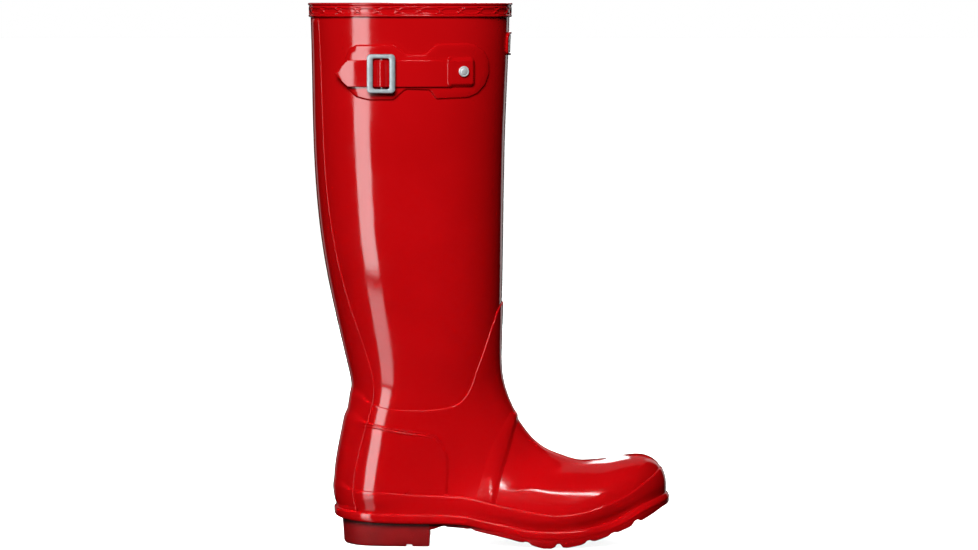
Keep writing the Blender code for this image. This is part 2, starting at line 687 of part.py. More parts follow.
def strap_length(name, start, end, count, half_width):
    """Length of strap from x = start to end; half_width(x) narrows it to a point."""
    loops = []
    for x in np.linspace(start, end, count + 1):
        half, low = half_width(x), strap_height(x)
        loops.append([drape(x, STRAP_Z + side * half, low + lift)
                      for side, lift in ((-1, 0), (0, 0), (1, 0), (1, STRAP_THICK),
                                         (0, STRAP_THICK), (-1, STRAP_THICK))])
    faces = [(i * 6 + j, i * 6 + (j + 1) % 6, i * 6 + 6 + (j + 1) % 6, i * 6 + 6 + j)
             for i in range(count) for j in range(6)]
    faces += [(0, 1, 4, 5), (1, 2, 3, 4)]
    faces += [tuple(count * 6 + k for k in (0, 5, 4, 1)),
              tuple(count * 6 + k for k in (1, 4, 3, 2))]
    return make_piece(name, [p for loop in loops for p in loop], faces, "gloss_rubber")


def side_frame(x, z):
    """Point on the skin with unit vectors along the leg's side, up and outward."""
    origin = drape(x, z, 0)
    ahead = (drape(x + 4 * MM, z, 0) - drape(x - 4 * MM, z, 0)).normalized()
    ahead = Vector((ahead.x, ahead.y, 0)).normalized()
    return origin, ahead, Vector((0, 0, 1)), ahead.cross(Vector((0, 0, 1)))


def rounded_box(half_x, half_z, radius, steps=4):
    points = []
    for corner, (sx, sz) in enumerate(((1, 1), (-1, 1), (-1, -1), (1, -1))):
        for k in range(steps + 1):
            angle = math.radians(90 * corner + 90 * k / steps)
            points.append((sx * (half_x - radius) + radius * math.cos(angle),
                           sz * (half_z - radius) + radius * math.sin(angle)))
    return points


def place_in(frame, points, height):
    """World points from flat (along, up) points at a height off the frame's origin."""
    origin, ahead, up, out = frame
    return [origin + ahead * u + up * v + out * height for u, v in points]


def move_origin(piece, point):
    """Put an object's origin on its joint's axis without moving its mesh."""
    for vertex in piece.data.vertices:
        vertex.co -= point
    piece.location = point


def loft(name, rings, kind, closed=False, capped=True):
    """Closed piece from rings of equal point counts, joined in order."""
    size, count = len(rings[0]), len(rings)
    faces = []
    for i in range(count if closed else count - 1):
        for j in range(size):
            k, n = (j + 1) % size, (i + 1) % count
            faces.append((i * size + j, i * size + k, n * size + k, n * size + j))
    if capped:
        faces += [tuple(range(size)), tuple((count - 1) * size + j for j in range(size))]
    return make_piece(name, [p for ring in rings for p in ring], faces, kind)


def build_strap():
    outline = smooth_line(PATCH_EDGE, 69, closed=True)
    sheet("strap_patch", outline, on_leg, (STEP, PATCH_TOP), 7 * MM, "gloss_rubber")

    strap_length("strap", TAIL_ROOT + GAP, PAD[0] - GAP, 26, lambda x: STRAP_HALF)

    def tail_half(x):
        shoulder = -24.5 * MM
        if x > shoulder:
            return STRAP_HALF
        part = (shoulder - x) / (shoulder - TAIL_TIP)
        return STRAP_HALF * (1 - 0.93 * part ** 1.6)
    tail = strap_length("strap_tail", TAIL_TIP, TAIL_ROOT, 12, tail_half)
    move_origin(tail, drape(TAIL_ROOT, STRAP_Z, STRAP_LIFT + STRAP_THICK / 2))


def build_anchor():
    """Anchor pad at the strap's front end, with its stud and the washer under it."""
    middle = ((PAD[0] + PAD[1]) / 2, (PAD[2] + PAD[3]) / 2)
    half = ((PAD[1] - PAD[0]) / 2, (PAD[3] - PAD[2]) / 2)
    outline = np.array(rounded_box(*half, 4.5 * MM, 6)) + middle
    pad = sheet("anchor_pad", outline, on_leg, (STRAP_LIFT, PAD_TOP), 7 * MM, "gloss_rubber")
    frame = side_frame(*STUD)

    circle = [(math.cos(a), math.sin(a)) for a in np.arange(24) * math.pi / 12]

    def turned(name, profile):
        """Piece of revolution about the stud's axis from (radius, height) points in mm."""
        rings = [place_in(frame, [(c * radius * MM, s * radius * MM) for c, s in circle],
                          height * MM) for radius, height in profile]
        return loft(name, rings, "steel")
    for index, (radius, low, high) in enumerate(((1.7, 1.0, 6.0), (4.4, 1.0, 2.9))):
        cutter = turned(f"pad_cutter_{index}", [(radius, low), (radius, high)])
        cutter.hide_render = True
        cutter.display_type = "WIRE"
        cut = pad.modifiers.new(cutter.name, "BOOLEAN")
        cut.operation = "DIFFERENCE"
        cut.object = cutter

    turned("stud", [(1.3, 2.35), (1.3, 4.85), (3.7, 4.85), (4.0, 5.15), (3.9, 5.6), (3.2, 6.0),
                    (2.0, 6.25), (0.7, 6.3)])
    turned("stud_washer", [(3.9, 1.75), (3.9, 2.05)])


def build_buckle():
    """Frame, centre bar and the rubber chape that holds the bar to the boot."""
    frame = side_frame(BAR_X, STRAP_Z)
    low, high = FRAME_LIFT
    soft = 0.5 * MM
    outer, inner = BUCKLE_HALF, WINDOW_HALF
    rings = [place_in(frame, rounded_box(half[0] - trim, half[1] - trim, radius), height)
             for half, trim, radius, height in (
                 (outer, soft, 2.6 * MM, low), (outer, 0, 3 * MM, low + soft),
                 (outer, 0, 3 * MM, high - soft), (outer, soft, 2.6 * MM, high),
                 (inner, -soft, 1.8 * MM, high), (inner, 0, 1.4 * MM, high - soft),
                 (inner, 0, 1.4 * MM, low + soft), (inner, -soft, 1.8 * MM, low))]
    body = loft("buckle_frame", rings, "steel", closed=True, capped=False)

    origin, ahead, up, out = frame
    axis = origin + out * BAR_LIFT
    ring = [ahead * math.cos(a) * BAR_RADIUS + out * math.sin(a) * BAR_RADIUS
            for a in np.arange(12) * math.pi / 6]
    reach_up = WINDOW_HALF[1] + 1.6 * MM
    bar = loft("centre_bar", [[axis + up * side * reach_up + p for p in ring]
                              for side in (-1, 1)], "steel")
    for piece in (body, bar):
        move_origin(piece, axis)

    loop, eye = [], []
    for k in range(24):
        angle = 2 * math.pi * k / 24
        u, v = 1.75 * MM * math.cos(angle), 1.75 * MM * math.sin(angle)
        if v < 0:                                   # flat foot bonded to the patch
            v = max(v * 1.4, PATCH_TOP + GAP - BAR_LIFT)
            u *= 1.8
        loop.append(ahead * u + out * v)
        eye.append(ahead * math.cos(angle) * 1.15 * MM + out * math.sin(angle) * 1.15 * MM)
    half = 8.5 * MM
    rings = [[axis + up * side + p for p in points]
             for side, points in ((-half, eye), (-half, loop), (half, loop), (half, eye))]
    loft("buckle_chape", rings, "gloss_rubber", closed=True, capped=False)


def build_badge():
    """Blank rounded plaque on the front of the leg, in a raised rubber border."""
    centre_z, half_y, half_z = 379.5 * MM, 15 * MM, 9 * MM

    def wrap(flat, lift):
        result = []
        for y, z in flat:
            hit, normal, _, _ = TREE.ray_cast(Vector((0.2, y, z)), Vector((-1, 0, 0)))
            result.append(hit + (normal if normal.x > 0 else -normal) * lift)
        return np.array(result)
    circle = np.arange(36) * math.pi / 18
    oval = np.stack([np.cos(circle), np.sin(circle)], axis=1)
    oval /= np.sum(np.abs(oval) ** 4.5, axis=1, keepdims=True) ** (1 / 4.5)
    rings = []
    for grow, lift in ((0, STEP), (0, 2.0 * MM), (-2.0 * MM, 2.0 * MM), (-2.0 * MM, STEP)):
        rings.append([Vector(p) for p in wrap(
            oval * (half_y + grow, half_z + grow) + (0, centre_z), lift)])
    loft("badge_border", rings, "gloss_rubber", closed=True, capped=False)
    sheet("badge_plaque", oval * (half_y - 2.3 * MM, half_z - 2.3 * MM) + (0, centre_z), wrap,
          (STEP, 1.5 * MM), 6 * MM, "plaque")


def clear_scene():
    for item in list(bpy.data.objects):
        bpy.data.objects.remove(item, do_unlink=True)


def main():
    clear_scene()
    build_upper()
    build_top_band()
    build_overlays()
    build_sole()
    build_strap()
    build_anchor()
    build_buckle()
    build_badge()


main()
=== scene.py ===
import json
import math

import bmesh
import bpy
import numpy as np
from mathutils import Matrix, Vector
from mathutils.bvhtree import BVHTree
from mathutils.geometry import delaunay_2d_cdt


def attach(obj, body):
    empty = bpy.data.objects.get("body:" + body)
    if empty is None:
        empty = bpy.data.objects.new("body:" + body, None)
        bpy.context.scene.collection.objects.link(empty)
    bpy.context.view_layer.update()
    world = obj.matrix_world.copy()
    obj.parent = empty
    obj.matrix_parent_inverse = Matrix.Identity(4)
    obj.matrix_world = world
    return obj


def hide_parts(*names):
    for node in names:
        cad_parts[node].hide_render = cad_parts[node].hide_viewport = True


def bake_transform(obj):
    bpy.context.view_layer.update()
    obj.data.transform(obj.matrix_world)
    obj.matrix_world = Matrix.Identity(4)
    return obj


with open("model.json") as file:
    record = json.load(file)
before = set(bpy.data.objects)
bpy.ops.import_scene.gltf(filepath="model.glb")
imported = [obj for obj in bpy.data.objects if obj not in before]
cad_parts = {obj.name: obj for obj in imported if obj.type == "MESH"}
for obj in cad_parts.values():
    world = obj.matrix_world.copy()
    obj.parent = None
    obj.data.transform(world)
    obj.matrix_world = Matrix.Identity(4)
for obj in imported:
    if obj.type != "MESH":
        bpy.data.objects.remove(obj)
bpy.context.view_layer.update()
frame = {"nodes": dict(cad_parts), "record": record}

MM = 0.001
TAU = 2 * math.pi

# ---- sizes shared with the CAD part, in metres ----
RUBBER = 2.2 * MM
OVERLAY = 1.1 * MM  # height of the ankle overlay above the skin
COUNTER = 2.4 * MM
STRIP = 0.35 * MM  # thickness of the strip up the back
FOXING = 2.5 * MM
RAND = 5.6 * MM
RAND_HEIGHT = 5.0 * MM
SOLE_EDGE = (0.6 * MM, 5.2 * MM)  # the outsole's edge at the heel and at the ball
SOLE_THICK = 3.8 * MM
NOTCHES = (106, 130, 152.7, 171, 188.7)  # middles of the tread's notches, mm
HEEL_BREAST = 32.5 * MM
STRAP_Z, STRAP_HALF = 357.6 * MM, 10.1 * MM
PATCH = 1.4 * MM
STRAP_LIFT, STRAP_THICK = 1.5 * MM, 1.6 * MM
BAR_X, BAR_LIFT, BAR_RADIUS = -1.9 * MM, 3.4 * MM, 0.8 * MM
TAIL_ROOT, TAIL_TIP = -14.1 * MM, -34.3 * MM
FOOT, LEG, BUCKLE, TAIL = "foot", "leg", "buckle", "strap_tail"

# Sections from the rim to the toe: front x and z, back x and z, half-width, the widest place
# as a share from back to front, and how square the front and the back halves are.
SECTIONS = np.array([
    (93.2, 410, -57.4, 410, 50.5, 0.5, 2.15, 2.15),
    (92, 368, -56.4, 368, 50.5, 0.5, 2.15, 2.15),
    (90, 320, -55.6, 320, 51, 0.5, 2.15, 2.15),
    (88.9, 275, -53.7, 275, 51, 0.5, 2.15, 2.15),
    (88.2, 230, -49.2, 230, 49.5, 0.5, 2.15, 2.15),
    (87.6, 190, -42.2, 190, 46.5, 0.5, 2.15, 2.15),
    (86.8, 160, -35.6, 160, 43, 0.49, 2.12, 2.12),
    (86.5, 136, -30, 136, 39.8, 0.47, 2.1, 2.1),
    (88.5, 121, -27.1, 119, 37.5, 0.42, 2.05, 2.1),
    (93, 107.5, -29.6, 100, 36, 0.38, 2, 2.08),
    (100.3, 93.5, -34.8, 74, 35, 0.355, 2, 2.05),
    (110.3, 80.2, -38, 50, 34, 0.32, 2, 2.05),
    (121, 71.7, -35, 30, 33.4, 0.29, 2, 2.4),
    (132.2, 66.9, -20, 21.3, 33, 0.27, 2.05, 3.2),
    (143.4, 63.2, 12, 21, 33.6, 0.26, 2.1, 3.8),
    (152.5, 62.4, 50, 20.7, 35.6, 0.26, 2.1, 3.8),
    (160.7, 62.9, 90, 13.7, 38.8, 0.28, 2.1, 3.8),
    (169, 63.7, 128, 8.9, 41.6, 0.33, 2.1, 3.8),
    (177.4, 65.2, 160.5, 13, 40.7, 0.36, 2.12, 3.6),
    (186.8, 66.4, 183.5, 21.4, 36.3, 0.38, 2.15, 3.2),
    (195.2, 66.1, 195.2, 28, 30.6, 0.4, 2.2, 2.8),
    (202, 63.6, 202, 31.8, 24.4, 0.42, 2.2, 2.5),
    (207.2, 59, 207.2, 35.8, 17, 0.45, 2.2, 2.4),
    (210.1, 53, 210.1, 40.4, 9, 0.47, 2.2, 2.3),
    (210.9, 46.8, 210.9, 46.8, 0, 0.5, 2.2, 2.2)]) * (MM, MM, MM, MM, MM, 1, 1, 1)
TOE = len(SECTIONS) - 1

# Edges of the layers in side view, x and z in mm.
RAND_TOP = [(-45, 30), (-32, 27.6), (-8, 26), (30, 25.4), (58, 24.6), (75, 21), (92, 17.6),
            (107, 14), (130, 13.2), (153, 15.6), (176, 22.6), (194, 32.4), (215, 39.6)]
FOXING_TOP = [(-45, 41.5), (-24, 43), (15, 40.6), (45, 39.2), (62, 37.8), (81, 33.4),
              (105, 28.4), (130, 25.4), (153, 28.6), (170, 34.6), (182, 40.6), (194, 48.6),
              (208, 57)]
OVERLAY_EDGE = [(-32, 114), (-17, 110), (0, 105.5), (28, 104.3), (47, 106), (56, 110),
                (63, 119.5), (68, 134), (74, 150.5), (81, 170.5), (85, 181), (92, 190)]
BAND_BACK = [(95.8, 101.4), (91.7, 100), (81.2, 84.4), (73, 64.1), (67, 38.4), (65.5, 30)]
BAND_FRONT = [(100.7, 94.7), (97.7, 88.1), (93.2, 72.4), (87.7, 54.4), (83, 34), (81.5, 24)]
COUNTER_EDGE = [(-30.5, 95), (-7.8, 93.3), (3.4, 91), (25, 88), (34.8, 85.9), (40.6, 82),
                (44.8, 75), (47.3, 65.6), (47, 41), (46.6, 34)]
PATCH_EDGE = [(-22, 379.2), (7, 379.7), (16.2, 372.1), (29.8, 372.2), (38.4, 380.1),
              (60, 380.5), (68, 379), (74, 374.6), (77.4, 367), (77.4, 357), (74.4, 348.5),
              (69, 342.2), (62, 339), (37.9, 338), (33, 344.8), (15.7, 345.4), (6.5, 337.4),
              (-12, 337.2), (-22, 339.6), (-28.5, 346.5), (-31, 357), (-30.4, 368),
              (-27.5, 375.5)]
BACK_END = 13.2  # the section where the strip up the back ends, under the foxing
# Half-width of that strip, in radians of turn, at each section from the rim down.
BACK_HALF = (0.46, 0.50, 0.53, 0.55, 0.60, 0.68, 0.78, 0.86, 0.91, 0.93, 0.88, 0.84, 0.83)


# ---- materials ----
class Surface:
    """A new material, with short ways to make the nodes that feed its shader."""

    def __init__(self, name):
        self.material = bpy.data.materials.new(name)
        self.material.use_nodes = True
        self.tree = self.material.node_tree
        self.where = self.tree.nodes.new("ShaderNodeTexCoord").outputs["Object"]

    def feed(self, item, inputs):
        """Set a node's inputs, each from a value or from another node's output."""
        for name, value in inputs.items():
            socket = item.inputs[name.replace("_", " ") if isinstance(name, str) else name]
            if isinstance(value, bpy.types.NodeSocket):
                self.tree.links.new(value, socket)
            else:
                socket.default_value = value

    def node(self, kind, output, **inputs):
        made = self.tree.nodes.new("ShaderNode" + kind)
        self.feed(made, inputs)
        return made.outputs[output]

    def shader(self, **inputs):
        self.feed(self.tree.nodes["Principled BSDF"], inputs)
        return self.material

    def math(self, operation, *values):
        made = self.tree.nodes.new("ShaderNodeMath")
        made.operation = operation
        self.feed(made, dict(enumerate(values)))
        return made.outputs[0]

    def axes(self):
        split = self.tree.nodes.new("ShaderNodeSeparateXYZ")
        self.feed(split, {"Vector": self.where})
        return list(split.outputs)

    def noise(self, scale, detail=2.0, rough=0.5, where=None):
        return self.node("TexNoise", "Fac", Vector=where or self.where, Scale=scale,
                         Detail=detail, Roughness=rough)

    def stretched(self, scale):
        return self.node("Mapping", 0, Vector=self.where, Scale=scale)

    def ramp(self, value, low, high, to_low, to_high):
        return self.node("MapRange", 0, Value=value, From_Min=low, From_Max=high,
                         To_Min=to_low, To_Max=to_high)

    def shades(self, value, low, high, dark, light):
        """Colour that goes from dark to light as the value goes from low to high."""
        mix = self.tree.nodes.new("ShaderNodeMix")
        mix.data_type = "RGBA"
        factor = self.ramp(value, low, high, 0, 1)
        self.feed(mix, {0: factor, 6: (*dark, 1), 7: (*light, 1)})
        return mix.outputs[2]

    def bump(self, height, distance, **under):
        """Bumps of a height in metres, over another bump where Normal= gives one."""
        return self.node("Bump", 0, Height=height, Distance=distance, **under)


def gloss_rubber():
    """Dipped gloss: slow waves, orange peel, and a few specks of dust under the skin."""
    look = Surface("gloss_rubber_red")
    wave = look.bump(look.noise(22, 1), 0.00035)
    peel = look.bump(look.noise(260), 0.000012, Normal=wave)
    dust = look.node("TexVoronoi", "Distance", Vector=look.where, Scale=150.0)
    speck = look.bump(look.ramp(dust, 0.0, 0.055, 1, 0), 0.00003, Normal=peel)
    colour = look.shades(look.noise(14, 3), 0.3, 0.7, (0.455, 0.0019, 0.0031),
                         (0.505, 0.0026, 0.0042))
    haze = look.ramp(look.noise(45, 5, 0.62), 0.42, 0.74, 0.075, 0.15)
    return look.shader(Base_Color=colour, Roughness=haze, Normal=speck, IOR=1.5)


def matte_rubber():
    look = Surface("stippled_rubber_red")
    grain = look.noise(1500, 2, 0.7)
    colour = look.shades(look.noise(60, 4, 0.6), 0.3, 0.7, (0.24, 0.0024, 0.0036),
                         (0.31, 0.004, 0.0055))
    return look.shader(Base_Color=colour, Roughness=look.ramp(grain, 0.3, 0.7, 0.36, 0.55),
                       Normal=look.bump(grain, 0.0003), Specular_IOR_Level=0.25)


def steel(name, dark, light, metallic, rough):
    """Brushed and faintly tarnished metal."""
    look = Surface(name)
    brushed = look.noise(1, 3, where=look.stretched((900, 900, 6000)))
    colour = look.shades(look.noise(300, 3), 0.35, 0.65, dark, light)
    return look.shader(Base_Color=colour, Metallic=metallic,
                       Roughness=look.ramp(brushed, 0.3, 0.7, rough, rough + 0.14),
                       Normal=look.bump(brushed, 0.00001))


def knit():
    """Cotton knit: columns of loops round the leg, rows up it."""
    look = Surface("knit_lining")
    x, y, z = look.axes()
    angle = look.math("ARCTAN2", y, look.math("SUBTRACT", x, 0.018))
    rib = look.math("SINE", look.math("MULTIPLY", angle, 150.0))
    loop = look.math("SINE", look.math("MULTIPLY_ADD", z, 2900.0, rib))
    height = look.math("MULTIPLY_ADD", loop, 0.5, rib)
    # Painted shade: the colour darkens in the hollows between the loops and ribs, and the same
    # height also drives the bump.
    colour = look.shades(height, -1.2, 1.2, (0.40, 0.37, 0.32), (0.70, 0.66, 0.60))
    fuzz = look.bump(look.noise(1800, 3), 0.0002)
    return look.shader(Base_Color=colour, Roughness=0.95, Sheen_Weight=0.3,
                       Normal=look.bump(height, 0.0003, Normal=fuzz))


def woven(name, dark, light, pitch):
    """Plain weave seen from above, for the tape and the footbed's cover."""
    look = Surface(name)
    x, y, z = (look.math("SINE", look.math("MULTIPLY", axis, TAU / pitch))
               for axis in look.axes())
    height = look.math("ADD", look.math("MULTIPLY", x, y), z)
    fuzz = look.noise(900, 4)
    # Painted shade: the colour darkens where the threads dip under each other, in the weave's
    # hollows.
    return look.shader(Base_Color=look.shades(height, -1.5, 1.5, dark, light),
                       Roughness=look.ramp(fuzz, 0.3, 0.7, 0.8, 0.98),
                       Normal=look.bump(height, 0.0002, Normal=look.bump(fuzz, 0.0003)))


def grainy(name, dark, light, scale, roughness, depth, stretch=(1, 1, 1)):
    """Fibre board, foam and enamel: one grain in colour, roughness and bump."""
    look = Surface(name)
    grain = look.noise(scale, 4, 0.6, look.stretched(stretch))
    spread = (roughness * 0.85, min(1, roughness * 1.15))
    return look.shader(Base_Color=look.shades(grain, 0.3, 0.7, dark, light),
                       Roughness=look.ramp(grain, 0.3, 0.7, *spread),
                       Normal=look.bump(grain, depth))


SLOTS = {
    "gloss_rubber": gloss_rubber(),
    "matte_rubber": matte_rubber(),
    "steel": steel("satin_steel", (0.30, 0.35, 0.37), (0.38, 0.43, 0.45), 0.45, 0.34),
    "knit": knit(),
    "board": grainy("fibre_board", (0.26, 0.19, 0.12), (0.44, 0.34, 0.23), 300, 0.9, 0.0002,
                    (1, 3, 1)),
    "foam": grainy("cell_foam", (0.035, 0.035, 0.04), (0.075, 0.075, 0.08), 1400, 0.95,
                   0.0003),
    "plaque": grainy("white_enamel", (0.80, 0.79, 0.78), (0.88, 0.87, 0.86), 90, 0.16,
                     0.00001)}
BRIGHT = steel("bright_steel", (0.62, 0.66, 0.68), (0.78, 0.81, 0.82), 0.35, 0.26)
SOLE = grainy("sole_rubber_red", (0.43, 0.0024, 0.0036), (0.48, 0.003, 0.0045), 700, 0.24,
              0.00004)
TAPE = woven("cotton_tape", (0.42, 0.39, 0.35), (0.66, 0.62, 0.56), 0.0012)
COVER = woven("footbed_cover", (0.030, 0.030, 0.034), (0.085, 0.085, 0.095), 0.0011)


# ---- mesh helpers ----
def join(*parts):
    return np.concatenate(parts)


def add_object(name, data):
    made = bpy.data.objects.new(name, data)
    bpy.context.scene.collection.objects.link(made)
    return made


def make_piece(name, points, faces, slot, material=None, sharp=None):
    """One named object from points and faces, with normals facing out and smooth shading."""
    mesh = bpy.data.meshes.new(name)
    mesh.from_pydata(np.asarray(points, float).reshape(-1, 3).tolist(), [],
                     [tuple(map(int, f)) for f in faces])
    shell = bmesh.new()
    shell.from_mesh(mesh)
    bmesh.ops.remove_doubles(shell, verts=shell.verts, dist=0.002 * MM)
    bmesh.ops.dissolve_degenerate(shell, edges=shell.edges, dist=0.001 * MM)
    loose = [v for v in shell.verts if not v.link_faces]
    bmesh.ops.delete(shell, geom=loose, context="VERTS")
    bmesh.ops.recalc_face_normals(shell, faces=shell.faces)
    shell.to_mesh(mesh)
    shell.free()
    mesh.shade_smooth()
    if sharp:
        mesh.set_sharp_from_angle(angle=math.radians(sharp))
    mesh.materials.append(material or SLOTS[slot])
    piece = add_object(name, mesh)
    return piece


def strips(rows, columns, wrap_rows, wrap_columns, skip=()):
    """Quads of a grid of points numbered row by row."""
    i = np.array([r for r in range(rows if wrap_rows else rows - 1) if r not in skip])
    j = np.arange(columns if wrap_columns else columns - 1)
    i, j = np.meshgrid(i, j, indexing="ij")
    n, k = (i + 1) % rows, (j + 1) % columns
    quads = np.stack([i * columns + j, i * columns + k, n * columns + k, n * columns + j], -1)
    return quads.reshape(-1, 4)


def ring_piece(name, loops, slot, skip=(), **looks):
    """Piece from an array [row round the section, column round the ring]."""
    faces = strips(*loops.shape[:2], True, True, skip)
    return make_piece(name, loops, faces, slot, **looks)


def capped_piece(name, loops, slot, **looks):
    """Piece from an array [row along it, column round its section], closed at both ends."""
    rows, columns = loops.shape[:2]
    faces = [tuple(f) for f in strips(rows, columns, False, True)]
    faces += [tuple(range(columns)), tuple((rows - 1) * columns + j for j in range(columns))]
    return make_piece(name, loops, faces, slot, **looks)


def border_of(rows, columns):
    """Indices of a grid's border points, in order round it."""
    border = [(0, j) for j in range(columns)] + [(i, columns - 1) for i in range(1, rows)]
    border += [(rows - 1, j) for j in range(columns - 2, -1, -1)]
    border += [(i, 0) for i in range(rows - 2, 0, -1)]
    return np.array([i * columns + j for i, j in border])


def slab_piece(name, upper, lower, slot, between=(), **looks):
    """Closed piece between two grids of the same shape, with more grids for its walls."""
    shape, half = upper.shape[:2], upper[..., 0].size
    rim = border_of(*shape)
    points = [upper.reshape(-1, 3), lower.reshape(-1, 3)]
    loops = [rim]
    for k, grid in enumerate(between):
        points.append(grid.reshape(-1, 3)[rim])
        loops.append(half * 2 + k * len(rim) + np.arange(len(rim)))
    loops.append(rim + half)
    top = strips(*shape, False, False)
    faces = [top, top + half]
    faces += [np.stack([a, np.roll(a, -1), np.roll(b, -1), b], -1)
              for a, b in zip(loops, loops[1:])]
    return make_piece(name, np.concatenate(points), np.concatenate(faces), slot, **looks)


# ---- the skin, as in the CAD part ----
def spline(values, places):
    """Natural cubic spline through the rows of values, at real-numbered places."""
    last = len(values) - 1
    system = np.eye(last + 1) * 4 + np.eye(last + 1, k=1) + np.eye(last + 1, k=-1)
    system[0], system[-1] = np.eye(last + 1)[0], np.eye(last + 1)[-1]
    bend = np.zeros_like(values)
    bend[1:-1] = 6 * (values[2:] - 2 * values[1:-1] + values[:-2])
    bend = np.linalg.solve(system, bend)
    places = np.clip(places, 0, last)
    low = np.minimum(places.astype(int), last - 1)
    part = (places - low)[..., None]
    rest = 1 - part
    return (values[low] * rest + values[low + 1] * part
            + bend[low] * (rest ** 3 - rest) / 6 + bend[low + 1] * (part ** 3 - part) / 6)


def side_curve(points):
    """Height as a smooth function of x through side-view points given in mm."""
    points = np.array(points, float) * MM
    across = points[:, 0]

    def height(x):
        x = np.clip(x, across[0], across[-1])
        return spline(points[:, 1:], np.interp(x, across, np.arange(len(across))))[..., 0]
    return height


rand_top, foxing_top = side_curve(RAND_TOP), side_curve(FOXING_TOP)
overlay_edge, counter_edge = side_curve(OVERLAY_EDGE), side_curve(COUNTER_EDGE[:6])


def sole_top(x):
    return rand_top(x) - RAND_HEIGHT


def tread(x):
    """Height of the tread, which curls up from the ball to the toe."""
    return 0.02475 * np.maximum(np.asarray(x) / MM - 128, 0) ** 1.6 * MM


def smoothstep(value):
    value = np.clip(value, 0, 1)
    return value * value * (3 - 2 * value)


def fade(value, start, run):
    """From 0 to 1 as the value goes from start over a run, which is negative downwards."""
    return smoothstep((value - start) / run)


def foxing_lift(x):
    """The foxing stands a little further off the skin where the heel counter runs under it."""
    return FOXING + 0.8 * MM * fade(x, 74 * MM, -24 * MM)


def sole_edge(x):
    return SOLE_EDGE[0] + (SOLE_EDGE[1] - SOLE_EDGE[0]) * fade(x, 40 * MM, 50 * MM)


def toe_in(x):
    """How far the foot's middle line has turned inward."""
    return 6 * MM * fade(x, 110 * MM, 100 * MM)


def bare_skin(place, turn):
    """Points of the skin: place runs from the rim to the toe, turn round the boot from the
    front edge over the buckle side to the back."""
    row = spline(SECTIONS, place)
    front, back = row[..., 0:2], row[..., 2:4]
    middle = back + row[..., 5:6] * (front - back)
    along, across = np.cos(turn), np.sin(turn)
    power = np.where(along > 0, row[..., 6], row[..., 7])
    size = (np.abs(along) ** power + np.abs(across) ** power) ** (-1 / power)
    reach = np.where((along > 0)[..., None], front - middle, middle - back)
    flat = middle + (along * size)[..., None] * reach
    side = toe_in(flat[..., 0]) - across * size * row[..., 4]
    return np.stack([flat[..., 0], side, flat[..., 1]], axis=-1)


def skin(place, turn, lift=0.0):
    """Points at a height above (or, if negative, below) the skin."""
    place, turn, lift = np.broadcast_arrays(np.asarray(place, float), np.asarray(turn, float),
                                            np.asarray(lift, float))
    safe = np.clip(place, 0.01, TOE - 0.03)
    down = bare_skin(safe + 0.01, turn) - bare_skin(safe - 0.01, turn)
    around = bare_skin(safe, turn + 0.002) - bare_skin(safe, turn - 0.002)
    normal = np.cross(around, down)
    normal /= np.linalg.norm(normal, axis=-1, keepdims=True) + 1e-12
    normal[place > TOE - 0.02] = (1, 0, 0)
    return bare_skin(place, turn) + normal * lift[..., None]


def crossing(turn, edge, low, high):
    """Place on each turn line where the skin first drops below a side-view curve."""
    places = np.linspace(low, high, 600)
    points = bare_skin(*np.meshgrid(places, turn, indexing="ij"))
    above = points[..., 2] - edge(points[..., 0])
    first = np.maximum(np.argmax(above < 0, axis=0), 1)
    column = np.arange(len(turn))
    upper, lower = above[first - 1, column], above[first, column]
    part = np.clip(upper / (upper - lower + 1e-12), 0, 1)
    return places[first - 1] + part * (places[1] - places[0])


LEG_PLACES = np.linspace(0, 7, 1401)
LEG_HEIGHTS = spline(SECTIONS[:, 1:2], LEG_PLACES)[:, 0]


def place_at_height(z):
    """Place of the level leg section at each height."""
    return np.interp(-np.asarray(z, float), -LEG_HEIGHTS, LEG_PLACES)


def turn_where(place, goal, axis, low, high):
    """Turn on a leg section where one coordinate, which falls from low to high, meets goal."""
    low, high = np.full(place.shape, low), np.full(place.shape, high)
    for _ in range(32):
        middle = (low + high) / 2
        above = bare_skin(place, middle)[..., axis] > goal
        low, high = np.where(above, middle, low), np.where(above, high, middle)
    return (low + high) / 2


def on_side(flat, lift):
    """Points over the buckle side of the leg from side-view (x, z)."""
    place = place_at_height(flat[..., 1])
    return skin(place, turn_where(place, flat[..., 0], 0, 0.001, math.pi - 0.001), lift)


def on_front(flat, lift):
    """Points over the front of the leg from front-view (y, z)."""
    place = place_at_height(flat[..., 1])
    return skin(place, turn_where(place, flat[..., 0], 1, -math.pi / 2, math.pi / 2), lift)


PLACE_SIZE, TURN_SIZE = 20 * MM, 40 * MM  # rough size of one place and one radian


def on_skin(flat, lift):
    return skin(flat[..., 0] / PLACE_SIZE, flat[..., 1] / TURN_SIZE, lift)


def smooth_line(points, count):
    """Evenly numbered points on a smooth line through side-view points in mm."""
    return spline(np.array(points, float) * MM, np.linspace(0, len(points) - 1, count))


SEARCH = np.meshgrid(np.linspace(0, TOE - 0.1, 1201), np.linspace(0, math.pi, 401),
                     indexing="ij")
SEARCH_SKIN = bare_skin(*SEARCH)


def locate(x, z):
    """(place, turn) of the buckle-side skin point nearest to a side-view point."""
    miss = (SEARCH_SKIN[..., 0] - x) ** 2 + (SEARCH_SKIN[..., 2] - z) ** 2
    best = np.argmin(miss)
    return SEARCH[0].flat[best], SEARCH[1].flat[best]


def mirrored_outline(line, axis):
    """Outline in (place, turn) from a side-view line, doubled over turn = axis."""
    half = np.array([locate(x, z) for x, z in line])
    half[:, 1] = np.where(np.abs(half[:, 1] - axis) < 0.03, axis, half[:, 1])
    other = half[::-1].copy()
    other[:, 1] = 2 * axis - other[:, 1]
    keep = np.abs(other[:, 1] - axis) > 1e-6
    return join(half, other[keep]) * (PLACE_SIZE, TURN_SIZE)


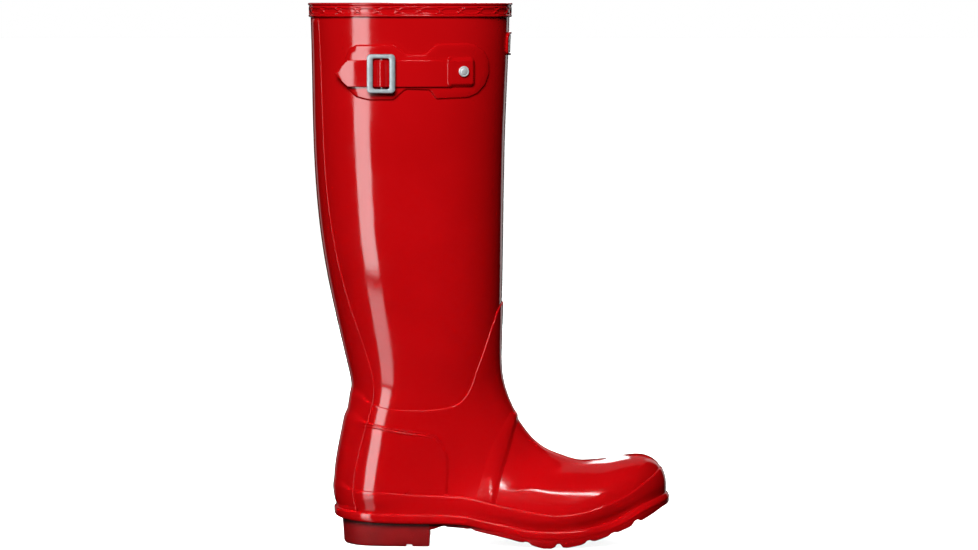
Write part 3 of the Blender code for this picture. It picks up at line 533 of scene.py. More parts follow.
# ---- moulded sheets ----
def even_outline(outline, to_world, step, soften):
    """The closed outline with even steps on the surface and corners softened."""
    closed = join(outline, outline[:1])
    fine = np.concatenate([a + (b - a) * np.linspace(0, 1, 12, endpoint=False)[:, None]
                           for a, b in zip(closed[:-1], closed[1:])] + [closed[-1:]])
    sizes = np.linalg.norm(np.diff(to_world(fine, np.zeros(len(fine))), axis=0), axis=1)
    length = join([0], np.cumsum(sizes))
    count = int(length[-1] / step)
    at = np.arange(count) * length[-1] / count
    even = np.stack([np.interp(at, length, fine[:, k]) for k in (0, 1)], axis=1)
    if soften:
        reach = int(4 * soften / step) + 1
        offsets = np.arange(-reach, reach + 1)
        weights = np.exp(-0.5 * (offsets * step / soften) ** 2)
        weights /= weights.sum()
        even = sum(w * np.roll(even, -k, axis=0) for k, w in zip(offsets, weights))
    return even


def inward(outline, to_world):
    """Direction in the flat outline that is one metre inwards on the surface."""
    x, y = outline.T
    sign = np.sign(np.sum(x * np.roll(y, -1) - y * np.roll(x, -1)))
    tangent = (np.roll(outline, -1, axis=0) - np.roll(outline, 1, axis=0)) * sign
    left = np.stack([-tangent[:, 1], tangent[:, 0]], axis=1)
    small, none = 1e-5, np.zeros(len(outline))
    slopes = [(to_world(outline + d, none) - to_world(outline - d, none)) / (2 * small)
              for d in (np.array((small, 0)), np.array((0, small)))]
    jacobian = np.stack(slopes, axis=-1)
    metric = np.einsum("nki,nkj->nij", jacobian, jacobian)
    direction = np.linalg.solve(metric, left[..., None])[..., 0]
    return direction / np.sqrt(np.sum(direction * left, axis=1, keepdims=True))


def lattice(outline, spacing):
    """Points of a triangular lattice inside an outline, clear of its edge."""
    low, high = outline.min(axis=0), outline.max(axis=0)
    points = np.array([(u, v)
                       for row, v in enumerate(np.arange(low[1], high[1], spacing * 0.87))
                       for u in np.arange(low[0] + (row % 2) * spacing / 2, high[0], spacing)])
    far = np.min(np.linalg.norm(points[:, None] - outline, axis=2), axis=1)
    return points[far > 0.6 * spacing]


def moulded(name, outline, to_world, low, profile, slot, spacing=3.5 * MM, step=1.0 * MM,
            soften=0.0):
    """Closed sheet over a flat outline.  profile gives (inward distance, height over low)
    pairs, where a height may be a function of the flat points; low may be one too."""
    edge = even_outline(outline, to_world, step, soften)
    direction = inward(edge, to_world)
    floor = low if callable(low) else (lambda flat: np.full(len(flat), low))

    def lifted(flat, height):
        return floor(flat) + (height(flat) if callable(height) else height)
    rings = [edge + direction * distance for distance, _ in profile]
    upper = [to_world(ring, lifted(ring, height)) for ring, (_, height) in zip(rings, profile)]
    count = len(edge)
    inside = lattice(rings[-1], spacing)
    flat = [Vector(p) for p in join(rings[-1], inside)]
    sides = [(i, (i + 1) % count) for i in range(count)]
    flat, _, faces, _, _, _ = delaunay_2d_cdt(flat, sides, [list(range(count))], 1, 1e-9)
    flat = np.array([tuple(p) for p in flat])
    upper.append(to_world(flat, lifted(flat, profile[-1][1])))
    lower = [to_world(ring, floor(ring)) for ring in rings] + [to_world(flat, floor(flat))]
    top = np.concatenate(upper)
    quads = [tuple(f) for f in strips(len(rings), count, False, True)]
    start = len(rings) * count
    tops = quads + [tuple(start + i for i in f) for f in faces]
    both = tops + [tuple(len(top) + i for i in f) for f in tops]
    return make_piece(name, join(top, *lower), both, slot)


def rounded(height, run, steps):
    """Profile of an edge that stands up and rounds over."""
    angles = np.linspace(0, math.pi / 2, steps)
    return [(run * (1 - math.cos(a)), height * math.sin(a)) for a in angles]


def ramped(height, run, steps):
    """Profile of a soft edge that rises from nothing and flattens out."""
    return [(run * s, height * float(smoothstep(s))) for s in np.linspace(0, 1, steps)]


# ---- rubber upper ----
def turns(count):
    return np.arange(count) * TAU / count


def build_upper():
    """Leg and foot as one sheet from the rim to the toe, and back inside it to the rim."""
    outer = join(np.linspace(0.03, 8, 100), np.linspace(8, TOE, 170)[1:])
    inner = np.linspace(TOE, 0.03, 90)
    lifts = join(np.zeros(len(outer)), np.full(len(inner), -RUBBER))
    loops = skin(join(outer, inner)[:, None], turns(192), lifts[:, None])
    upper = ring_piece("upper_rubber", loops, "gloss_rubber", skip=(len(outer) - 1,))
    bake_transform(upper)
    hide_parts("leg_rubber", "foot_rubber")


def band_front_x(z):
    """Where the instep band's front edge is at each height."""
    line = smooth_line(BAND_FRONT, 60)[::-1]
    return np.interp(z, line[:, 1], line[:, 0])


def build_overlay():
    """Thin moulded layer round the ankle and heel, from its stepped edge to the foxing."""
    around, sunk = turns(240), -0.1 * MM
    edge = crossing(around, overlay_edge, 4.5, 11)
    line = smooth_line(BAND_FRONT, 60)[::-1] - (5 * MM, 0)

    def lower_edge(x):
        front = np.interp(x, line[:, 0], line[:, 1], left=-1, right=1)
        return np.maximum(foxing_top(x) - 3 * MM, front)
    bottom = crossing(around, lower_edge, 8.6, 18)
    points = bare_skin(edge, around)
    tangent = np.roll(points, -1, axis=0) - np.roll(points, 1, axis=0)
    tangent /= np.linalg.norm(tangent, axis=1, keepdims=True)
    fall = (bare_skin(edge + 0.02, around) - bare_skin(edge - 0.02, around)) / 0.04
    fall -= np.sum(fall * tangent, axis=1, keepdims=True) * tangent
    rate = np.linalg.norm(fall, axis=1)
    profile = rounded(OVERLAY, 0.8 * MM, 7) + [(1.4 * MM, OVERLAY), (2.2 * MM, OVERLAY)]
    places = [edge + distance / rate for distance, _ in profile]
    places += [places[-1] + (bottom - places[-1]) * s for s in np.linspace(0, 1, 70)[1:]]
    lifts = [height for _, height in profile] + [OVERLAY] * 69
    under = [places[i] for i in range(len(places) - 1, 0, -4)]
    lifts = np.array(lifts + [sunk] * len(under))
    loops = skin(np.array(places + under), around, lifts[:, None])
    loops[0] = skin(edge, around, sunk)
    overlay = ring_piece("ankle_overlay_skin", loops, "gloss_rubber")
    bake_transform(overlay)
    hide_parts("ankle_overlay")


def build_counter():
    line = list(smooth_line(COUNTER_EDGE, 60))
    line += [(x * MM, float(foxing_top(x * MM)) - 3.5 * MM) for x in range(44, -34, -6)]
    line.append((-38.5 * MM, 38 * MM))
    rise = COUNTER - OVERLAY

    def height(distance, beaded):
        """A double bead along the top edge, a soft slope down the front one."""
        def lift(flat):
            z = on_skin(flat, np.zeros(len(flat)))[:, 2]
            high = fade(z, 74 * MM, 9 * MM)
            behind = fade(np.abs(flat[:, 1] / TURN_SIZE - math.pi), 0.95, -0.4)
            soft = float(smoothstep(distance / 3.2))
            plain = float(smoothstep(distance / 1.2))
            return rise * (high * (beaded + (plain - beaded) * behind) + (1 - high) * soft)
        return lift
    profile = [(d * MM, height(d, h)) for d, h in (
        (0, 0.0), (0.10, 0.46), (0.3, 0.85), (0.6, 1.2), (0.95, 1.38), (1.3, 1.1), (1.65, 0.82),
        (2.0, 1.08), (2.4, 1.38), (2.8, 1.36), (3.15, 1.1), (3.5, 0.94), (4.0, 1.0))]
    counter = moulded("heel_counter_panel", mirrored_outline(line, math.pi), on_skin,
                      OVERLAY - 0.1 * MM, profile, "gloss_rubber", soften=1.2 * MM,
                      step=0.9 * MM)
    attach(counter, FOOT)
    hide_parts("heel_counter")


def build_instep_band():
    """Low soft saddle over the instep: a long slope behind, a short one in front."""
    edges = [smooth_line(line, 80) for line in (BAND_BACK, BAND_FRONT)]
    outline = mirrored_outline(list(edges[0][::2]) + list(edges[1][::2])[::-1], 0.0)

    def low(flat):
        at = on_skin(flat, np.zeros(len(flat)))
        behind = band_front_x(at[:, 2]) - at[:, 0]
        return (OVERLAY - 0.15 * MM) * fade(behind, 3 * MM, 1.6 * MM)

    def top(flat):
        at = on_skin(flat, np.zeros(len(flat)))[:, None, 0::2]
        back, front = (np.min(np.linalg.norm(at - line[None], axis=2), axis=1)
                       for line in edges)
        lift = OVERLAY + 0.75 * MM * smoothstep(back / (6 * MM)) - 0.15 * MM
        return np.maximum(lift * smoothstep(front / (4.2 * MM)) - low(flat), 0.01 * MM)
    profile = [(0.0, 0.0)] + [(d * MM, top) for d in (0.3, 0.7, 1.1, 1.5, 1.9, 2.3, 2.7, 3.2)]
    band = moulded("instep_band_panel", outline, on_skin, low, profile, "gloss_rubber",
                   soften=1.0 * MM, spacing=1.8 * MM)
    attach(band, FOOT)
    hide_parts("instep_band")


def build_back_strip():
    """One strip down the back that shows the edges of the layers it lies over."""
    under_band = float(place_at_height(399.2 * MM))
    high = join(np.linspace(under_band, 7.9, 70)[:-1], np.linspace(7.9, BACK_END, 230))
    side = np.array([0.93, 0.95, 0.965, 0.978, 0.988, 0.995, 1])
    across = join(-side[::-1], np.linspace(-0.9, 0.9, 37), side)
    half = spline(np.array(BACK_HALF + BACK_HALF[-1:] * 2)[:, None], high)[:, 0]
    place = np.repeat(high[:, None], len(across), axis=1)
    turn = math.pi + across * half[:, None]
    at = bare_skin(place, turn)
    floor = rand_top(at[..., 0]) + 3.5 * MM
    for j in range(len(across)):  # straight down from there, as the foxing is
        z = at[:, j, 2]
        last = int(np.argmax(z < floor[:, j]))
        if last:
            drop = np.linspace(0, 1, len(high) - last + 1)[1:] * 5.2 * MM
            at[last:, j] = at[last - 1, j] - drop[:, None] * (0, 0, 1)
            place[last:, j] = place[last - 1, j]
    lowered = at[..., 2] - bare_skin(place, turn)[..., 2]
    x, z = at[..., 0], at[..., 2]
    width = half[:, None] * 42 * (1 - np.abs(across))  # mm from the edge: a radian is about 42 mm
    run = 1 + 7 * smoothstep(width / 16)  # each layer fades in over this, mm

    def layer(edge):
        return smoothstep((edge(x) - z) / MM / run + 1)
    over = (counter_edge(x) - z) / MM
    bead = 0.38 * smoothstep(over / 0.9) - 0.5 * np.exp(-((over - 1.7) / 0.5) ** 2)
    bead = np.where(over > 0, bead, 0) * fade(over, 3.7, -0.8)
    layers = OVERLAY * layer(overlay_edge) + (COUNTER - OVERLAY) * (
        layer(counter_edge) + bead * (1 - smoothstep(width / 6)))
    layers += (foxing_lift(x) - COUNTER) * layer(foxing_top)
    edge = smoothstep(width / 0.35) + 0.75 * np.exp(-((width - 0.55) / 0.35) ** 2)
    rim = fade(high, BACK_END, -0.02)[:, None]
    upper = skin(place, turn, layers + STRIP * edge * rim)
    lower = skin(place, turn, layers - 0.25 * MM)
    upper[..., 2] += lowered
    lower[..., 2] += lowered
    strip = slab_piece("back_seam_strip", upper, lower, "gloss_rubber")
    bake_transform(strip)
    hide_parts("back_strip", "heel_strip")


# ---- top band ----
LINKS, BAND_MIDDLE = 26, 404.2
BAND_SECTION = [(399.4, 0.02), (399.42, 0.9), (399.7, 1.5), (400.2, 1.9), (400.7, 1.95),
                (401.2, 1.65), (401.6, 1.2), (401.9, 0.95)]
BAND_SECTION += [(z, 0.9) for z in np.linspace(402.1, 406.3, 20)]
BAND_SECTION += [(406.5, 0.95), (406.75, 1.3), (407.0, 1.6), (407.3, 1.6), (407.55, 1.3),
                 (407.8, 1.05), (408.05, 1.1), (408.35, 1.5), (408.8, 1.95), (409.3, 2.15),
                 (409.8, 2.0), (410.15, 1.5), (410.3, 0.7), (410.32, -0.4), (410.3, -1.4),
                 (410.1, -2.2), (409.6, -2.75), (408.8, -2.95), (407.4, -2.95), (406.4, -2.85),
                 (406.3, -2.3), (408.6, -2.25), (408.8, 0.02), (404.0, 0.02)]


def chain_relief(along, up):
    """Height of the raised chain of long links, mm: links along it and mm off its middle."""
    pitch, run, half = 15.3, 2.907, 2.1
    at = np.abs(up)
    s = np.minimum(along % 1, 1 - along % 1) * pitch
    part = np.clip((s * run + at * half) / (run ** 2 + half ** 2), 0, 1)
    slanted = np.hypot(s - part * run, at - part * half)
    level = np.where(s > run, np.abs(at - half), 9)
    node_bar = np.hypot(s, np.maximum(at - 1.0, 0))
    away = np.minimum(np.minimum(slanted, level), node_bar)
    return 0.7 * smoothstep((0.75 - away) / 0.45)


def build_top_band():
    """Moulded band over the rim, with a chain of long links round it."""
    around = turns(LINKS * 32)
    middle = bare_skin(np.full(len(around), place_at_height(404 * MM)), around)
    steps = np.linalg.norm(np.roll(middle, -1, axis=0) - middle, axis=1)
    along = (np.cumsum(steps) - steps) / steps.sum() * LINKS
    z, lift = np.array(BAND_SECTION).T
    lifts = np.repeat(lift[:, None], len(around), axis=1)
    outside = (z > 401.7) & (z < 406.6) & (lift > 0.5)
    lifts[outside] += chain_relief(along, z[outside][:, None] - BAND_MIDDLE)
    loops = skin(place_at_height(np.minimum(z, 410) * MM)[:, None], around, lifts * MM)
    loops[..., 2] = z[:, None] * MM
    band = ring_piece("top_band_chain", loops, "gloss_rubber")
    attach(band, LEG)
    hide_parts("top_band")


# ---- lining and footbed ----
def build_lining():
    """Knitted sock inside the rubber, with a woven tape round its top."""
    around = turns(128)
    start = float(place_at_height(406.0 * MM))
    outer = join(np.linspace(start, 8, 60), np.linspace(8, TOE - 0.5, 60)[1:])
    depth = -2.3 * MM - 2.0 * MM * fade(outer, 6.5, 2.5)
    places = join(outer, [TOE, TOE], outer[::-1])
    lifts = join(depth, [-4.3 * MM, -5.2 * MM], depth[::-1] - 0.9 * MM)
    loops = skin(places[:, None], around, lifts[:, None])
    lining = ring_piece("knit_lining_sock", loops, "knit", skip=(len(outer),))
    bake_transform(lining)
    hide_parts("leg_lining", "ankle_lining", "foot_lining")

    z = join([405.6, 405.4], np.linspace(404, 383, 12), [382.2, 382.0])
    thick = join([0.15, 0.6], np.full(12, 0.85), [0.6, 0.15])
    lifts = join(-3.25 - thick, np.full(len(z), -3.22)) * MM
    places = place_at_height(join(z, z[::-1]) * MM)
    tape = ring_piece("lining_top_tape", skin(places[:, None], around, lifts[:, None]), "knit",
                      material=TAPE)
    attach(tape, LEG)
    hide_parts("inner_top_tape")


# ---- sole ----
def skin_tree():
    places, around = np.linspace(0, TOE, 481), np.linspace(0.013, TAU + 0.013, 361)
    grid = bare_skin(*np.meshgrid(places, around, indexing="ij"))
    faces = strips(len(places), len(around), False, False)
    return BVHTree.FromPolygons(grid.reshape(-1, 3).tolist(), faces.tolist())


TREE = skin_tree()
HEEL_CENTRE, TOE_CENTRE = -4 * MM, 166 * MM
HALF_FOOT, SOCK_CORNER = 38 * MM, 7 * MM  # rough half-width; the sock over the sole


def stations(count, arc):
    """Start and direction of the rays that find the sole's outline, all the way round."""
    span = TOE_CENTRE - HEEL_CENTRE
    rays = [(HEEL_CENTRE + span * k / count, -90) for k in range(count)]
    rays += [(TOE_CENTRE, -90 + 180 * k / arc) for k in range(arc)]
    rays += [(TOE_CENTRE - span * k / count, 90) for k in range(count)]
    rays += [(HEEL_CENTRE, 90 + 180 * k / arc) for k in range(arc)]
    return [(Vector((x, float(toe_in(x)), 0)),
             Vector((math.cos(math.radians(angle)), math.sin(math.radians(angle)), 0)))
            for x, angle in rays]


def reach(start, direction, z):
    """Distance from a ray's start to the skin at height z, never under the sock's corner."""
    far = HALF_FOOT
    for _ in range(3):
        level = max(z, float(sole_top(start.x + far * direction.x)) + SOCK_CORNER)
        origin = Vector((start.x, start.y, level))
        far = (TREE.ray_cast(origin, direction)[0] - origin).length
    return far


def sole_ring(name, profile, slot, replaced):
    """Closed ring round the foot; profile gives each station's (distance, z) points."""
    up = Vector((0, 0, 1))
    loops = [[tuple(start + direction * far + up * z) for far, z in profile(start, direction)]
             for start, direction in stations(84, 60)]
    made = ring_piece(name, np.array(loops).transpose(1, 0, 2), slot)
    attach(made, FOOT)
    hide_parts(replaced)


def foxing_profile(start, direction):
    far = reach(start, direction, 0)
    edge_x = start.x + direction.x * far
    toe = float(fade(edge_x, 165 * MM, 40 * MM))
    lift = float(foxing_lift(edge_x)) - 1.6 * MM * toe
    under = (2.6 - 5.6 * toe) * MM  # turns under, but flares at the toe
    top, base, corner = float(foxing_top(edge_x)), float(sole_top(edge_x)), 1.1 * MM
    section = [(base + (top - corner - base) * share, under * (1 - share) ** 1.2)
               for share in np.linspace(0, 1, 9)]
    section += [(top - corner * (1 - math.sin(a)), corner * (1 - math.cos(a)))
                for a in np.radians((25, 50, 75))]
    section.append((top, 1.3 * MM))
    outer = [(reach(start, direction, z) + lift - inset, z) for z, inset in section]
    outer.append((reach(start, direction, top) + 0.2 * MM, top - 0.1 * MM))
    inner = [(reach(start, direction, z) - 0.3 * MM, z)
             for z in (top - 0.5 * MM, (top + base + SOCK_CORNER) / 2, base + SOCK_CORNER)]
    return outer + inner + [(far - 0.3 * MM, base)]


def rand_profile(start, direction):
    near = reach(start, direction, 0) + 0.3 * MM
    out = near + RAND - 0.3 * MM
    under = [(1.9, -2.6), (1.1, -2.4), (0.55, -1.8), (0.22, -0.9), (0.05, 0.2)]
    over = [(0, 1.4), (0, 2.6), (0.03, 3.4), (0.3, 4.15), (0.85, 4.75), (1.6, 5.0), (2.3, 4.85)]
    lean = 0.5 * float(fade(start.x + direction.x * out, 150 * MM, 50 * MM))
    section = [(near, -2.6 * MM)] + [(out - (inward + lean * max(up, 0)) * MM, up * MM)
                                     for inward, up in under + over]
    section.append((near, RAND_HEIGHT - 0.5 * MM))
    return [(far, float(sole_top(start.x + direction.x * far)) + up) for far, up in section]


def plan_outline(extra, height):
    """Plan points round the skin at a height over the sole's top, moved out by extra(x)."""
    points = []
    for start, direction in stations(60, 48):
        x = start.x + HALF_FOOT * direction.x
        far = reach(start, direction, float(sole_top(x)) + height)
        points.append(tuple(start + direction * (far + float(extra(x))))[:2])
    return np.array(points)


def sock_bottom(x, y):
    """Height of the foot's underside over plan points, or 1 m where there is none."""
    hits = [TREE.ray_cast(Vector((a, b + 1e-6, -0.01)), Vector((0, 0, 1)))[0]
            for a, b in zip(x.ravel(), y.ravel())]
    return np.array([hit.z if hit else 1.0 for hit in hits]).reshape(x.shape)


def sides_of(outline):
    """Function of x giving the outline's y on the outer and the inner side, and its ends."""
    first, last = np.argmin(outline[:, 0]), np.argmax(outline[:, 0])
    order = np.roll(outline, -first, axis=0)
    turn = (last - first) % len(order)
    outer, inner = order[:turn + 1], join(order[turn:], order[:1])[::-1]

    def sides(x):
        return np.interp(x, outer[:, 0], outer[:, 1]), np.interp(x, inner[:, 0], inner[:, 1])
    return sides, outline[first, 0], outline[last, 0]


def edge_distance(x, y, outline):
    """Distance from each plan point to the outline's nearest side."""
    side = np.roll(outline, -1, axis=0) - outline
    p = np.stack([x.ravel(), y.ravel()], axis=1)[:, None]
    part = np.einsum("pnk,nk->pn", p - outline, side) / np.sum(side ** 2, axis=1)
    near = outline + np.clip(part, 0, 1)[..., None] * side
    return np.min(np.linalg.norm(p - near, axis=2), axis=1).reshape(x.shape)


def edge_rise(away, radius):
    """How far a rounded edge lifts the underside, at each distance from the edge."""
    return radius - np.sqrt(np.maximum(radius ** 2 - np.maximum(radius - away, 0) ** 2, 0))


def edge_shares(columns, crowd):
    """Shares from 0 to 1 across a plate, crowded at both ends."""
    even = np.linspace(0, 1, columns)
    return even - crowd * np.sin(TAU * even) / TAU


def plan_grid(outline, gap, plain, shares, marks=()):
    """Plan points in rows across an outline; rows crowd at its ends and at the marks."""
    sides, back, front = sides_of(outline)
    share = (1 - np.cos(math.pi * np.linspace(0, 1, plain))) / 2
    rows = list(back + gap + (front - back - 2 * gap) * share)
    for mark in marks:
        rows = [x for x in rows if abs(x - mark) > 1.3 * MM]
        rows += [mark + d * MM for d in np.linspace(-1.2, 1.2, 9)]
    rows = np.array(sorted(rows))[:, None]
    low, high = sides(rows)
    return rows + 0 * shares, low + (high - low) * shares


def build_outsole():
    """Sole plate with a notched tread under the ball and a low ridge along the waist."""
    outline = plan_outline(sole_edge, 5 * MM)
    marks = [(middle + side) * MM for middle in NOTCHES for side in (-1.3, 1.3)]
    shares = edge_shares(45, 0.75)
    x, y = plan_grid(outline, 0.05 * MM, 130, shares, marks)
    plain_top = sole_top(x) - 0.3 * MM
    top = np.minimum(plain_top, sock_bottom(x, y) - 0.3 * MM)
    base = plain_top - SOLE_THICK
    ground = np.maximum(tread(x), 0.28 * (118 * MM - x))
    ground = np.minimum(base - 0.6 * MM, np.maximum(ground, base - 5 * MM))
    off_centre = np.abs(2 * shares - 1)
    groove = np.exp(-((off_centre * 33 - 7) / 1.6) ** 2) * 0.4  # two lines along it
    bottom = base + (ground - base) * fade(x, 80 * MM, 16 * MM) * (1 - groove)
    fillet = fade(x, HEEL_BREAST - 5 * MM, 4 * MM) * (1 - fade(x, HEEL_BREAST, 12 * MM))
    bottom -= 3.2 * MM * fillet  # thicker where the heel meets it
    ridge = fade(x, 44 * MM, 3 * MM) * (1 - fade(x, 84 * MM, 12 * MM))
    bottom -= 0.9 * MM * ridge * (1 - np.exp(-(np.abs(x / MM - 64) / 1.6) ** 3))
    for middle in NOTCHES:
        cut = np.exp(-(np.abs(x / MM - middle) / 2.7) ** 3)
        bottom += np.minimum(3.6 * MM, (base - ground) * 0.9) * cut
    bottom += edge_rise(edge_distance(x, y, outline), 1.1 * MM)
    bottom = np.minimum(bottom, top - 0.4 * MM)
    inset = fade(base - bottom, 0, 5 * MM) * 0.6 * MM * (off_centre > 0.98)
    y_low = y - np.sign(shares - 0.5) * inset
    made = slab_piece("outsole_tread", np.stack([x, y, top], -1),
                      np.stack([x, y_low, bottom], -1), "matte_rubber", material=SOLE, sharp=50)
    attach(made, FOOT)
    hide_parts("outsole")
    build_heel(outline)


def build_heel(outline):
    """Stacked heel with a rounded edge, a groove across it and sides that draw in."""
    start, end, depth = 15 * MM, 19.5 * MM, 1.8 * MM  # the groove
    sides, back, _ = sides_of(outline)
    back += 1.8 * MM
    share = 1 - np.cos(math.pi / 2 * np.linspace(0, 1, 70))
    rows = [x for x in back + (HEEL_BREAST - back) * share
            if min(abs(x - start), abs(x - end)) > 1.0 * MM]
    rows += [m + d * MM for m in (start, end) for d in np.linspace(-0.9, 0.9, 9)]
    rows += [HEEL_BREAST - d * MM for d in (0.1, 0.3, 0.6, 1.0)]
    rows = np.array(sorted(rows))[:, None]
    low, high = sides(rows)
    low, high = low - 0.2 * MM, np.maximum(high + 0.2 * MM, low)
    shares = edge_shares(49, 0.7)
    x, y = rows + 0 * shares, low + (high - low) * shares
    middle = (low + high) / 2
    drawn_in = (y - middle) * 3.2 * MM / np.maximum((high - low) / 2, 5 * MM)
    shift = 1.0 * MM * np.clip(1 - (rows - back) / (30 * MM), 0, 1)
    plan = join(np.hstack([rows, low]), np.hstack([rows, high])[::-1])
    cut = fade(x, start - 0.5 * MM, MM) * fade(x, end + 0.5 * MM, -MM)
    corner = 1.6 * MM + 2.2 * MM * fade(x, back + 14 * MM, -12 * MM)
    bottom = depth * cut + edge_rise(edge_distance(x, y, plan), corner) * (1 - cut)
    top = sole_top(x) - 2.9 * MM
    walls = [np.stack([x + shift * s, y - drawn_in * s ** 1.3, top + (bottom - top) * s], -1)
             for s in np.linspace(0, 1, 10)]
    heel = slab_piece("heel_stack", walls[0], walls[-1], "matte_rubber", walls[1:-1], sharp=50)
    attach(heel, FOOT)
    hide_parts("heel_block")


def build_footbed():
    """Crowned foam footbed with a cupped heel, under a woven cover."""
    outline = plan_outline(lambda x: -9.5 * MM, 12 * MM)
    x, y = plan_grid(outline, 1.1 * MM, 90, edge_shares(33, 0.5))
    away = edge_distance(x, y, outline)
    under = sock_bottom(x, y) + 11.336 * MM  # over the sock, fillers and board
    near = np.clip(away / (2.6 * MM), 0, 1)
    soft = np.sqrt(near * (2 - near))
    cup = 1.0 * MM * fade(away, 12 * MM, -12 * MM) * fade(x, 70 * MM, -50 * MM)
    top = under + 0.7 * MM + (3.1 * MM + cup) * soft
    bed = slab_piece("footbed_cushion", np.stack([x, y, top], -1), np.stack([x, y, under], -1),
                     "foam", material=COVER)
    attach(bed, FOOT)
    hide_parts("footbed")


# ---- strap, buckle and badge ----
def strap_height(x):
    hump = np.exp(-((x - BAR_X) / (4.2 * MM)) ** 2)
    return STRAP_LIFT + hump * (BAR_LIFT + BAR_RADIUS + 1.6 * MM - STRAP_LIFT)


def build_patch():
    patch = moulded("strap_patch_panel", np.array(PATCH_EDGE) * MM, on_side, -0.05 * MM,
                    ramped(PATCH, 1.5 * MM, 8), "gloss_rubber", soften=1.1 * MM,
                    step=0.8 * MM)
    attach(patch, LEG)
    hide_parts("strap_patch")


def half_round(first):
    """Cosines and sines of points on the half circle that starts at an angle in degrees."""
    angles = np.radians(np.linspace(first, first + 180, 7))
    return list(zip(np.cos(angles), np.sin(angles)))


def build_strap():
    """Strap from the anchor pad over the buckle's bar to its pointed tip, in one length."""
    along = join([TAIL_TIP - 0.3 * MM], np.linspace(TAIL_TIP, 46.5 * MM, 170))
    shoulder, spring = -26 * MM, -11 * MM  # the point and the spring start here
    part = np.clip((shoulder - along) / (shoulder - TAIL_TIP), 0, 1)
    half = STRAP_HALF * (1 - 0.94 * part ** 1.12)
    half[0] *= 0.5
    radius = np.minimum(0.75 * MM, half * 0.6)
    part = np.clip((spring - along) / (spring - TAIL_TIP), 0, 1)
    under = strap_height(along) + 3.2 * MM * part ** 1.15

    def row(across, up):
        return on_side(np.stack([along, STRAP_Z + across], -1), under + up * STRAP_THICK)

    def side(sign, first):
        return [row(sign * (half - radius) + x * radius, 0.5 + 0.5 * up)
                for x, up in half_round(first)]
    crown = [row(share * (half - radius), 1 + 0.075 * (1 - share ** 2))
             for share in np.linspace(0.94, -0.94, 13)]
    loops = np.array(side(1, -90) + crown + side(-1, 90)).transpose(1, 0, 2)
    strap = capped_piece("buckle_strap", loops, "gloss_rubber")
    start, end = (tuple(on_side(np.array([TAIL_ROOT + d, STRAP_Z]), 3 * MM))
                  for d in (3 * MM, -3 * MM))
    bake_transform(strap)
    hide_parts("strap", "strap_tail")


def rounded_box(half_x, half_z, radius, steps=8):
    points = []
    for corner, (x, z) in enumerate(((1, 1), (-1, 1), (-1, -1), (1, -1))):
        for angle in np.radians(90 * corner + 90 * np.arange(steps + 1) / steps):
            points.append((x * (half_x - radius) + radius * math.cos(angle),
                           z * (half_z - radius) + radius * math.sin(angle)))
    return np.array(points)


def side_frame(x, z):
    """Point on the skin with unit vectors along the leg's side, up and outward."""
    point, right, left = on_side(np.array([(x, z), (x + 4 * MM, z), (x - 4 * MM, z)]), 0)
    ahead, up = (right - left) * (1, 1, 0), np.array((0.0, 0, 1))
    ahead /= np.linalg.norm(ahead)
    return point, ahead, up, np.cross(ahead, up)


def placed(where, flat, height):
    """World points from flat (along, up) points at a height off the frame's origin."""
    origin, ahead, up, out = where
    return origin + flat[:, :1] * ahead + flat[:, 1:2] * up + out * height


def circle(count):
    return np.stack([np.cos(turns(count)), np.sin(turns(count))], 1)


def build_anchor():
    """Pad that holds the strap's front end, with the stud through it."""
    outline = rounded_box(10.85 * MM, 11.8 * MM, 4.2 * MM, 10) + (55.85 * MM, 358.5 * MM)
    full = 4.5 * MM - STRAP_LIFT

    def pillow(distance):
        """Crisp where the strap comes in, and a long soft slope on the other sides."""
        sharp = full * math.sqrt(max(0, 1 - (1 - min(1, distance / 1.3)) ** 2))
        first = smoothstep(0.12)
        soft = full * (smoothstep(distance / 4.2 + 0.12) - first) / (1 - first)

        def height(flat):
            crisp = fade(flat[:, 0], 50 * MM, -3.5 * MM)
            return crisp * sharp + (1 - crisp) * soft
        return height
    profile = [(d * MM, pillow(d)) for d in (0, 0.04, 0.15, 0.35, 0.6, 0.9, 1.3, 1.7, 2.2, 2.7,
                                             3.2, 3.7, 4.1)]
    pad = moulded("anchor_pad_pillow", outline, on_side, STRAP_LIFT - 0.4 * MM,
                  profile, "gloss_rubber", spacing=2 * MM, step=0.8 * MM)
    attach(pad, LEG)
    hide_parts("anchor_pad")

    where = side_frame(57 * MM, 359.2 * MM)
    section = [(0.02, 4.2), (3.5, 4.2), (3.9, 4.45), (4.05, 4.9), (4.0, 5.3), (3.75, 5.6),
               (3.4, 5.72), (3.1, 5.66), (2.9, 5.5), (2.7, 5.5), (2.5, 5.7), (2.2, 5.95),
               (1.7, 6.12), (1.1, 6.22), (0.5, 6.27), (0.02, 6.28)]
    loops = np.array([placed(where, circle(64) * radius * MM, height * MM)
                      for radius, height in section])
    loops[6:8] += 0.07 * MM * np.cos(turns(64) * 24)[:, None] * where[3]  # knurled
    stud = capped_piece("stud_cap", loops, "steel", material=BRIGHT)
    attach(stud, LEG)
    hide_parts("stud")


def build_buckle():
    """Flat frame round the strap, with its edges rounded over."""
    where = side_frame(BAR_X, STRAP_Z)
    middle, half, soft = 5.9, 0.95, 0.8  # height, half thickness, rounding
    loops = []
    for half_x, half_z, radius, sign in ((10.8, 14.6, 3.2, 1), (6.2, 11.3, 1.6, -1)):
        for across, up in half_round(-90 * sign):
            grow = (abs(across) - 1) * soft * sign
            flat = rounded_box(half_x + grow, half_z + grow, radius + grow)
            loops.append(placed(where, flat * MM, (middle + up * half) * MM))
    ring = ring_piece("buckle_frame_ring", np.array(loops), "steel")
    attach(ring, BUCKLE)
    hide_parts("buckle_frame")


